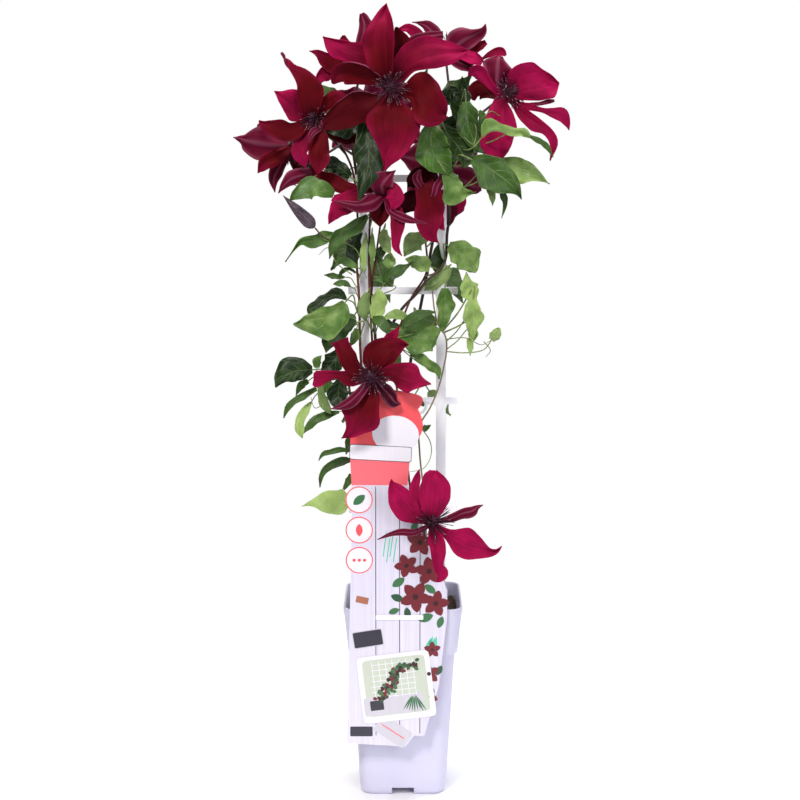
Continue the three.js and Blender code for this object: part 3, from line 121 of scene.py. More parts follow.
# Tepal face: living tissue with a matte, velvety skin. Its cells catch light at the edges of every fold.
def petalFaceMaterial():
    look = {
        "deep": "#220106",
        "crimson": "#5e0410",
        "magenta": "#9e0c46",
        "rib": "#220210",
        "fibres": (40, 2.5, 1),  # 40 across a tepal, drawn coarser than life so that they show
        "clouds": 55.0,  # patches of about 18 mm
        "sideRib": 0.16,  # the outer ribs' distance from the midrib, as a share of the width
        "skin": {"Roughness": 0.7, "IOR": 1.4, "Specular IOR Level": 0.1, "Sheen Weight": 0.2,
                 "Sheen Roughness": 0.4, "Sheen Tint": colour("#cc3a68")},
    }
    material, tree, shader = newMaterial("clematis tepal, velvety face")
    uv, along, off, tint = bladePlaces(tree)
    smooth = {"interpolation_type": "SMOOTHSTEP"}
    # Warmer where its own tint says so, and towards the tip and the edges: partly its own colour, partly a
    # painted sheen where tips and edges catch the light.
    tipward = addNode(tree, "MapRange", {**smooth, 1: 0.25, 2: 1.0, 3: -0.05, 4: 0.6}, {0: along})
    # painted sheen: the edges shade over to magenta
    edgeSheen = addNode(tree, "MapRange", {**smooth, 1: 0.3, 2: 0.5, 3: 0.0, 4: 0.3}, {0: off})
    tinted = addNode(tree, "Math", {"operation": "ADD"}, {0: tipward, 1: tint})
    warm = addNode(tree, "Math", {"operation": "ADD", "use_clamp": True}, {0: tinted, 1: edgeSheen})
    shades = {6: colour(look["crimson"]), 7: colour(look["magenta"])}
    ground = addNode(tree, "Mix", {"data_type": "RGBA", **shades}, {0: warm})
    # Deeper in random patches, and painted shade in the throat and on tepals with a tint below 0, where
    # shadow falls.
    # painted shade: darker towards the base, where the throat lies in shadow
    throatShade = addNode(tree, "MapRange", {**smooth, 1: 0.05, 2: 0.45, 3: 0.55, 4: 0.0}, {0: along})
    place = addNode(tree, "TexCoord").outputs["Object"]
    clouds = addNode(tree, "TexNoise", {"Scale": look["clouds"], "Detail": 3.0}, {0: place})
    cloud = addNode(tree, "MapRange", {1: 0.4, 2: 0.7, 3: 0.0, 4: 0.4}, {0: clouds})
    # painted shade: tepals with a tint below 0 lie in shadow
    tintShade = addNode(tree, "MapRange", {1: 0.0, 2: -1.2, 3: 0.0, 4: 0.85}, {0: tint})
    dark = addNode(tree, "Math", {"operation": "MAXIMUM"}, {0: throatShade, 1: tintShade})
    patch = addNode(tree, "Math", {"operation": "MAXIMUM"}, {0: dark, 1: cloud})
    shaded = addNode(tree, "Mix", {"data_type": "RGBA", 7: colour(look["deep"])},
                     {0: patch, 6: ground.outputs[2]})
    stretch = addNode(tree, "Mapping", {"Scale": look["fibres"]}, {0: uv})
    fibres = addNode(tree, "TexNoise", {"Scale": 1.0, "Detail": 3.0, "Roughness": 0.6}, {0: stretch})
    streak = addNode(tree, "MapRange", {1: 0.3, 2: 0.7, 3: 0.78, 4: 1.2}, {0: fibres})
    streaked = addNode(tree, "VectorMath", {"operation": "SCALE"}, {0: shaded.outputs[2], "Scale": streak})
    # Three dark ribs run from the base and fade out before the tip.
    side = addNode(tree, "Math", {"operation": "SUBTRACT", 1: look["sideRib"]}, {0: off})
    sideOff = addNode(tree, "Math", {"operation": "ABSOLUTE"}, {0: side})
    nearest = addNode(tree, "Math", {"operation": "MINIMUM"}, {0: off, 1: sideOff})
    rib = addNode(tree, "MapRange", {**smooth, 1: 0.0, 2: 0.035, 3: 1.0, 4: 0.0}, {0: nearest})
    fade = addNode(tree, "MapRange", {1: 0.12, 2: 0.8, 3: 0.3, 4: 0.0}, {0: along})
    ribs = addNode(tree, "Math", {"operation": "MULTIPLY"}, {0: rib, 1: fade})
    ribbed = addNode(tree, "Mix", {"data_type": "RGBA", 7: colour(look["rib"])}, {0: ribs, 6: streaked})
    relief = addNode(tree, "Math", {"operation": "SUBTRACT"}, {0: fibres, 1: ribs})
    bump = addNode(tree, "Bump", {"Strength": 0.35, "Distance": 0.0006}, {"Height": relief})
    setNode(shader, look["skin"], {"Base Color": ribbed.outputs[2], "Normal": bump})
    return material


# Tepal underside: paler and slightly downy, mauve with a pale bar along its middle and a pale margin, a
# painted sheen.
def petalBackMaterial():
    look = {
        "mauve": "#680a2c",
        "pale": "#a2647f",
        "deep": "#360414",
        "fibres": (34, 2, 1),  # like those of the face
        "skin": {"Roughness": 0.65, "IOR": 1.4, "Specular IOR Level": 0.1, "Sheen Weight": 0.2,
                 "Sheen Roughness": 0.4, "Sheen Tint": colour("#bc7090")},
    }
    material, tree, shader = newMaterial("clematis tepal, downy underside")
    uv, _, off, tint = bladePlaces(tree)
    smooth = {"interpolation_type": "SMOOTHSTEP"}
    bar = addNode(tree, "MapRange", {**smooth, 1: 0.0, 2: 0.12, 3: 0.28, 4: 0.0}, {0: off})
    # painted sheen of the down along the edges
    margin = addNode(tree, "MapRange", {**smooth, 1: 0.32, 2: 0.5, 3: 0.0, 4: 0.35}, {0: off})
    light = addNode(tree, "Math", {"operation": "MAXIMUM"}, {0: bar, 1: margin})
    stretch = addNode(tree, "Mapping", {"Scale": look["fibres"]}, {0: uv})
    fibres = addNode(tree, "TexNoise", {"Scale": 1.0, "Detail": 3.0}, {0: stretch})
    streak = addNode(tree, "MapRange", {1: 0.35, 2: 0.65, 3: 0.0, 4: 0.6}, {0: fibres})
    # painted shade: undersides with a tint below -0.1 lie in shadow
    tintShade = addNode(tree, "MapRange", {1: -0.1, 2: -1.2, 3: 0.0, 4: 0.95}, {0: tint})
    dark = addNode(tree, "Math", {"operation": "MAXIMUM"}, {0: streak, 1: tintShade})
    ground = addNode(tree, "Mix", {"data_type": "RGBA", 6: colour(look["mauve"]), 7: colour(look["deep"])},
                     {0: dark})
    barred = addNode(tree, "Mix", {"data_type": "RGBA", 7: colour(look["pale"])},
                     {0: light, 6: ground.outputs[2]})
    bump = addNode(tree, "Bump", {"Strength": 0.4, "Distance": 0.0006}, {"Height": fibres})
    setNode(shader, look["skin"], {"Base Color": barred.outputs[2], "Normal": bump})
    return material


leafPattern = {
    "clouds": 70.0,  # patches of about 14 mm
    "blisters": 420.0,  # of about 2.4 mm
    "veins": 5.5,  # side veins along each half
    "veinLean": 0.55,  # how far forwards they run
}


# Leaf: a thin waxy skin over green tissue, so it has a soft gloss, and netted veins paler than the rest.
def leafMaterial(name, look):
    material, tree, shader = newMaterial(name)
    _, along, off, tint = bladePlaces(tree)
    smooth = {"interpolation_type": "SMOOTHSTEP"}
    place = addNode(tree, "TexCoord").outputs["Object"]
    clouds = addNode(tree, "TexNoise", {"Scale": leafPattern["clouds"], "Detail": 4.0}, {0: place})
    # Side veins run out and forwards, so their pattern follows the blade less a share of the way out.
    lean = addNode(tree, "Math", {"operation": "MULTIPLY", 1: -leafPattern["veinLean"]}, {0: off})
    forward = addNode(tree, "Math", {"operation": "ADD"}, {0: along, 1: lean})
    wander = addNode(tree, "MapRange", {1: 0.0, 2: 1.0, 3: -0.05, 4: 0.05}, {0: clouds})
    bent = addNode(tree, "Math", {"operation": "ADD"}, {0: forward, 1: wander})
    count = addNode(tree, "Math", {"operation": "MULTIPLY", 1: leafPattern["veins"]}, {0: bent})
    saw = addNode(tree, "Math", {"operation": "PINGPONG", 1: 0.5}, {0: count})
    sideVein = addNode(tree, "MapRange", {**smooth, 1: 0.0, 2: 0.085, 3: 0.75, 4: 0.0}, {0: saw})
    midrib = addNode(tree, "MapRange", {**smooth, 1: 0.0, 2: 0.035, 3: 1.0, 4: 0.0}, {0: off})
    margin = addNode(tree, "MapRange", {**smooth, 1: 0.47, 2: 0.5, 3: 0.0, 4: 0.5}, {0: off})
    thread = addNode(tree, "Math", {"operation": "MAXIMUM"}, {0: sideVein, 1: midrib})
    veins = addNode(tree, "Math", {"operation": "MAXIMUM"}, {0: thread, 1: margin})
    soft = addNode(tree, "Math", {"operation": "MULTIPLY", 1: look["veinShare"]}, {0: veins})
    cloudy = addNode(tree, "MapRange", {1: 0.3, 2: 0.7, 3: -0.16, 4: 0.16}, {0: clouds})
    age = addNode(tree, "Math", {"operation": "ADD", "use_clamp": True}, {0: tint, 1: cloudy})
    stops = [(0.0, colour(look["old"])), (1.0, colour(look["young"])), (0.5, colour(look["grown"]))]
    ages = addNode(tree, "ValToRGB", {"stops": stops}, {0: age})
    veined = addNode(tree, "Mix", {"data_type": "RGBA", 7: colour(look["vein"])}, {0: soft, 6: ages})
    blister = addNode(tree, "TexNoise", {"Scale": leafPattern["blisters"], "Detail": 2.0}, {0: place})
    skin = addNode(tree, "Math", {"operation": "MULTIPLY", 1: 0.35}, {0: blister})
    relief = addNode(tree, "Math", {"operation": "SUBTRACT"}, {0: skin, 1: thread})
    bump = addNode(tree, "Bump", {"Strength": look["relief"], "Distance": 0.0007}, {"Height": relief})
    setNode(shader, {"Roughness": look["roughness"], "IOR": 1.45, "Specular IOR Level": look["gloss"]},
            {"Base Color": veined.outputs[2], "Normal": bump})
    return material


# A finish whose one grain makes both its colours and its relief. A moulded skin has a finer relief of its
# own.
def grainMaterial(name, dark, light, look):
    material, tree, shader = newMaterial(name)
    place = addNode(tree, "TexCoord").outputs["Object"]
    source = place
    for settings in look.get("mappings", ()):
        source = addNode(tree, "Mapping", settings, {0: source})
    grain = addNode(tree, "TexNoise", look["grain"], {0: source})
    low, high = look["stops"]
    ramp = addNode(tree, "ValToRGB", {"stops": [(low, colour(dark)), (high, colour(light))]}, {0: grain})
    setNode(shader, look["skin"], {"Base Color": ramp})
    if "bump" in look:
        height = addNode(tree, "TexNoise", look["peel"], {0: place}) if "peel" in look else grain
        bump = addNode(tree, "Bump", look["bump"], {"Height": height})
        setNode(shader, links={"Normal": bump})
    return material


# Stems: smooth young bark, reddish where the sun has ripened it and green where it is new, in long streaks.
barkLook = {
    "mappings": [{"Scale": (260, 260, 45)}],  # streaks about 4 mm wide and 22 mm long
    "grain": {"Scale": 1.0, "Detail": 3.0},
    "stops": (0.3, 0.72),
    "bump": {"Strength": 0.5, "Distance": 0.0004},
    "skin": {"Roughness": 0.5, "IOR": 1.45},
}
greenLook = {**barkLook, "skin": {"Roughness": 0.45, "IOR": 1.45}}  # a skin with a little more gloss

# Stamen parts: dry, matte tissue, wine-purple in filaments, near black in anthers, pinkish where dusted.
driedLook = {
    "grain": {"Scale": 900.0, "Detail": 2.0},  # specks of about 1 mm
    "stops": (0.35, 0.65),
    "skin": {"Roughness": 0.7},
}

# Moulded plastic: an even colour with a faint orange-peel skin, which breaks up its reflections a little.
plasticLook = {
    "grain": {"Scale": 9.0, "Detail": 2.0},  # flow marks of about 110 mm
    "stops": (0.3, 0.7),
    "peel": {"Scale": 700.0, "Detail": 1.0},  # dimples of about 1.4 mm
    "bump": {"Strength": 0.12, "Distance": 0.0003},
    "skin": {"Roughness": 0.42, "IOR": 1.49},
}

# Moist peat compost: dark crumbs with browner fibre, rough all over.
compostLook = {
    "grain": {"Scale": 260.0, "Detail": 6.0, "Roughness": 0.7},  # crumbs of about 4 mm
    "stops": (0.35, 0.7),
    "bump": {"Strength": 0.9, "Distance": 0.0015},
    "skin": {"Roughness": 0.95},
}

petalFace = petalFaceMaterial()
petalBack = petalBackMaterial()
leafFace = leafMaterial("clematis leaf, waxy upper side", {
    "old": "#12260a", "grown": "#47692a", "young": "#a0bb6c", "vein": "#b9cc8c", "veinShare": 0.16,
    "relief": 0.5, "roughness": 0.42, "gloss": 0.3})
leafBack = leafMaterial("clematis leaf, dull underside", {
    "old": "#3e5a34", "grown": "#66824a", "young": "#9cb06c", "vein": "#c4d0a8", "veinShare": 0.4,
    "relief": 0.8, "roughness": 0.6, "gloss": 0.2})
oldBark = grainMaterial("ripened stem, smooth bark", "#2c120e", "#7a3a2a", barkLook)
# painted shade: a darker copy of the ripened bark, for stems that lie in shadow
shadedBark = grainMaterial("shaded stem, smooth bark", "#1d1512", "#4c3428", barkLook)
tanBark = grainMaterial("young stem, tan bark", "#5a4632", "#a08c6c", barkLook)
greenBark = grainMaterial("new stem, green skin", "#4b5f2a", "#8a9a55", greenLook)
flowerStalk = grainMaterial("flower stalk, purple-brown skin", "#2b1a1e", "#5a4038", barkLook)
filament = grainMaterial("stamen filament, wine-purple", "#3c0c26", "#74244e", driedLook)
anther = grainMaterial("anther, near black", "#1c0811", "#46182e", driedLook)
pollenTip = grainMaterial("anther edge, dusted", "#85506a", "#c79fae", driedLook)
style = grainMaterial("style, mauve", "#5c2442", "#9a6a84", driedLook)
print("plant finishes made")


# claw, peak, power, opening and drip (from dripAt on) set the outline. cup lifts both edges, wave and
# pucker make them rise and fall, crumple buckles the whole blade, groove sinks its midrib, lobes cut the
# outline. flat is how much of each half stays flat where a margin rolls. beats: waves along a blade, taken
# in turn.
petalForm = {
    "claw": 0.2, "peak": 0.5, "power": 2.1, "opening": 0.8, "drip": 0.24, "dripAt": 0.72,
    "cup": 0.14, "wave": 0.2, "beats": (1.1, 1.23, 1.36), "pucker": 0.1, "crumple": 0.15, "groove": 0.05,
    "lobes": 0, "flat": 0.5, "cellsAcross": 16, "cellsAlong": 26, "thick": 0.5,
}
leafForm = {
    "claw": 0.06, "peak": 0.34, "power": 1.3, "opening": 0.58, "drip": 0.3, "dripAt": 0.72,
    "cup": 0.22, "wave": 0.28, "beats": (1.0, 1.2, 1.4), "pucker": 0.08, "crumple": 0.21, "groove": 0.06,
    "lobes": 0.12, "flat": 0.3, "cellsAcross": 10, "cellsAlong": 20, "thick": 0.45,
}
smallLeafForm = {**leafForm, "wave": 0.14, "cellsAcross": 6, "cellsAlong": 12}

# What all blades share. A nick is (depth, waves along the blade in radians).
bladeHabit = {
    "lean": 0.13,  # at most, as a share of the half width
    "sway": 0.05,  # at most, as a share of the length
    "narrowest": 0.3,  # half width at a tip
    "nick": (0.04, 13),
    "fineNick": (0.02, 31),
    "lobesAlong": 2.7,
    "puckersAlong": 3.4,
    "foldAcross": 0.9,
    "foldAlong": 2.6,
    "fineFold": 0.35,  # depth beside the broad folds
    "fineFoldAcross": 2.3,
    "fineFoldAlong": 6,
    "midrib": 70,  # how narrow its groove is
    "step": 0.02,  # apart, where its direction is read
}


def halfWidth(t, form):  # as a share of the widest
    opening = math.sin(math.pi / 2 * min(1, t / form["peak"])) ** form["opening"]
    closing = 1 - max(0, (t - form["peak"]) / (1 - form["peak"])) ** form["power"]
    pastDrip = max(0, (t - form["dripAt"]) / (1 - form["dripAt"]))
    drip = 1 - form["drip"] * math.sin(math.pi * pastDrip) ** 2
    return max(0.015, (form["claw"] + (1 - form["claw"]) * opening) * closing * drip)


def bothHalves(row):  # a row with one half width has it on both sides
    return (*row[:4], row[-1])


def between(rows, t):  # rows of numbers, blended smoothly along the way from the first to the last
    place = t * (len(rows) - 1)
    k = min(int(place), len(rows) - 2)
    f = place - k
    four = [rows[max(0, min(len(rows) - 1, j))] for j in range(k - 1, k + 3)]
    return [(2 * b + (c - a) * f + (2 * a - 5 * b + 4 * c - d) * f * f + (3 * b - a - 3 * c + d) * f ** 3) / 2
            for a, b, c, d in zip(*four)]


# spec: face (the way its upper side looks), tint, and either base, tip, width and bow, or a course: places
# of its midrib with the widths of its left and right half. If need be also roll, curl (how far the tip
# bends forwards), twist (degrees at the tip), margin (degrees that the left and the right edge roll over),
# hinge (degrees that the left and the right half lift), sway (how far its midrib bends to the right), lean
# (how much wider its right half is) and any value of the form. t runs from base to tip, s from the left
# edge (-1) to the right (1).
def addBlade(bm, form, spec, order):
    form = {**form, **spec}
    course = spec.get("course")
    if course:
        base, tip = Vector(course[0][:3]), Vector(course[-1][:3])
        width = 2 * max(max(row[3:]) for row in course)
    else:
        base, tip, width = spec["base"], spec["tip"], spec["width"]
    axis = tip - base
    long = axis.length
    axis.normalize()
    up = (spec["face"] - axis * spec["face"].dot(axis)).normalized()
    level = axis.cross(up)
    beats = form["beats"][order % 3]
    draw = random.Random(f"{base.x:.0f} {base.z:.0f} {order}")
    lean = spec.get("lean", draw.uniform(-bladeHabit["lean"], bladeHabit["lean"]))
    sway = spec.get("sway", draw.uniform(-bladeHabit["sway"], bladeHabit["sway"]) * long)
    own = Vector([draw.uniform(0, 90) for _ in range(3)])  # its own place in the pattern of folds
    roll, twist = spec.get("roll", 0), spec.get("twist", 0)
    margins, hinges = spec.get("margin", (0, 0)), spec.get("hinge", (0, 0))

    def rib(t):
        if course:
            return Vector(between(course, t)[:3])
        rise = spec["bow"] * max(0, math.sin(math.pi * t)) ** 1.5
        bend = spec.get("curl", 0) * max(0, (t - 0.5) / 0.5) ** 2
        return base + axis * (long * t) + up * (rise + bend) + level * (sway * math.sin(math.pi * t))

    def heading(t):
        return (rib(min(t + bladeHabit["step"], 1)) - rib(max(t - bladeHabit["step"], 0))).normalized()

    def side(t):
        rolled = roll * min(1, 2.5 * t)  # in full from 0.4 of its length
        if course:
            way = heading(t)
            flatwise = way.cross(spec["face"]).normalized()
            return Quaternion(way, math.radians(rolled + twist * t ** 4)) @ flatwise
        return Quaternion(axis, math.radians(rolled + twist * t * t)) @ level

    def halfAt(t, s, right):
        nick = 1 + bladeHabit["nick"][0] * math.sin(bladeHabit["nick"][1] * t + 2.1 * order + 1.3 * right)
        nick += bladeHabit["fineNick"][0] * math.sin(bladeHabit["fineNick"][1] * t + order)
        tooth = abs((bladeHabit["lobesAlong"] * t + 0.1 + 0.13 * right + own.x) % 1 - 0.5) * 4 - 1  # -1 to 1
        cut = nick + form["lobes"] * tooth * math.sin(math.pi * min(1, 1.15 * t))
        if course:
            return max(bladeHabit["narrowest"], between(course, t)[3 + right] * cut)
        return width / 2 * halfWidth(t, form) * (cut + lean * math.copysign(1, s))

    def heightAt(t, s, right, half):
        ripple = form["wave"] * min(1, 2 * t) * math.sin(2 * math.pi * beats * t + 1.7 * right)
        puckers = bladeHabit["puckersAlong"] * t + 0.37 * order
        fine = form["pucker"] * math.sin(2 * math.pi * puckers + 2.6 * right) * s * s
        folds = noise.noise(own + Vector((bladeHabit["foldAcross"] * s, 0, bladeHabit["foldAlong"] * t)))
        finePlace = Vector((bladeHabit["fineFoldAcross"] * s, 9, bladeHabit["fineFoldAlong"] * t))
        buckle = folds + bladeHabit["fineFold"] * noise.noise(own + finePlace)
        height = abs(s) ** 1.5 * half * (form["cup"] + ripple) + fine * half
        height += form["crumple"] * width * min(1, 3 * t) * buckle
        return height - form["groove"] * half * math.exp(-bladeHabit["midrib"] * s * s)

    def place(s, t):
        right = 1 if s > 0 else 0
        half = halfAt(t, s, right)
        height = heightAt(t, s, right, half)
        lift = math.radians(hinges[right]) * min(1, 3 * t)  # in full from a third of its length
        outwards, flat = s * half * math.cos(lift), form["flat"]
        height += abs(s) * half * math.sin(lift)
        if margins[right] and abs(s) > flat:
            bend = math.radians(margins[right]) * math.sin(math.pi * min(1, 0.12 + t)) ** 0.5 + 0.01
            radius = (1 - flat) * half / bend
            turned = (abs(s) - flat) * half / radius  # round the roll, in radians
            outwards = math.copysign(flat * half + radius * math.sin(turned), s)
            height += radius * (1 - math.cos(turned))
        return rib(t) + side(t) * outwards + side(t).cross(heading(t)).normalized() * height

    uvLayer = bm.loops.layers.uv.get("UVMap") or bm.loops.layers.uv.new("UVMap")
    tintLayer = bm.verts.layers.float.get("tint") or bm.verts.layers.float.new("tint")
    made = bmesh.ops.create_grid(bm, x_segments=form["cellsAcross"], y_segments=form["cellsAlong"], size=0.5)
    # Columns lie closer together towards the edges.
    spots = {v: (math.sin(math.pi * v.co.x) / 2 + 0.5, v.co.y + 0.5) for v in made["verts"]}
    for v, (u, t) in spots.items():
        v.co = place(2 * u - 1, t)
        v[tintLayer] = spec.get("tint", 0)
    for face in {face for v in spots for face in v.link_faces}:
        for loop in face.loops:
            loop[uvLayer].uv = spots[loop.vert]
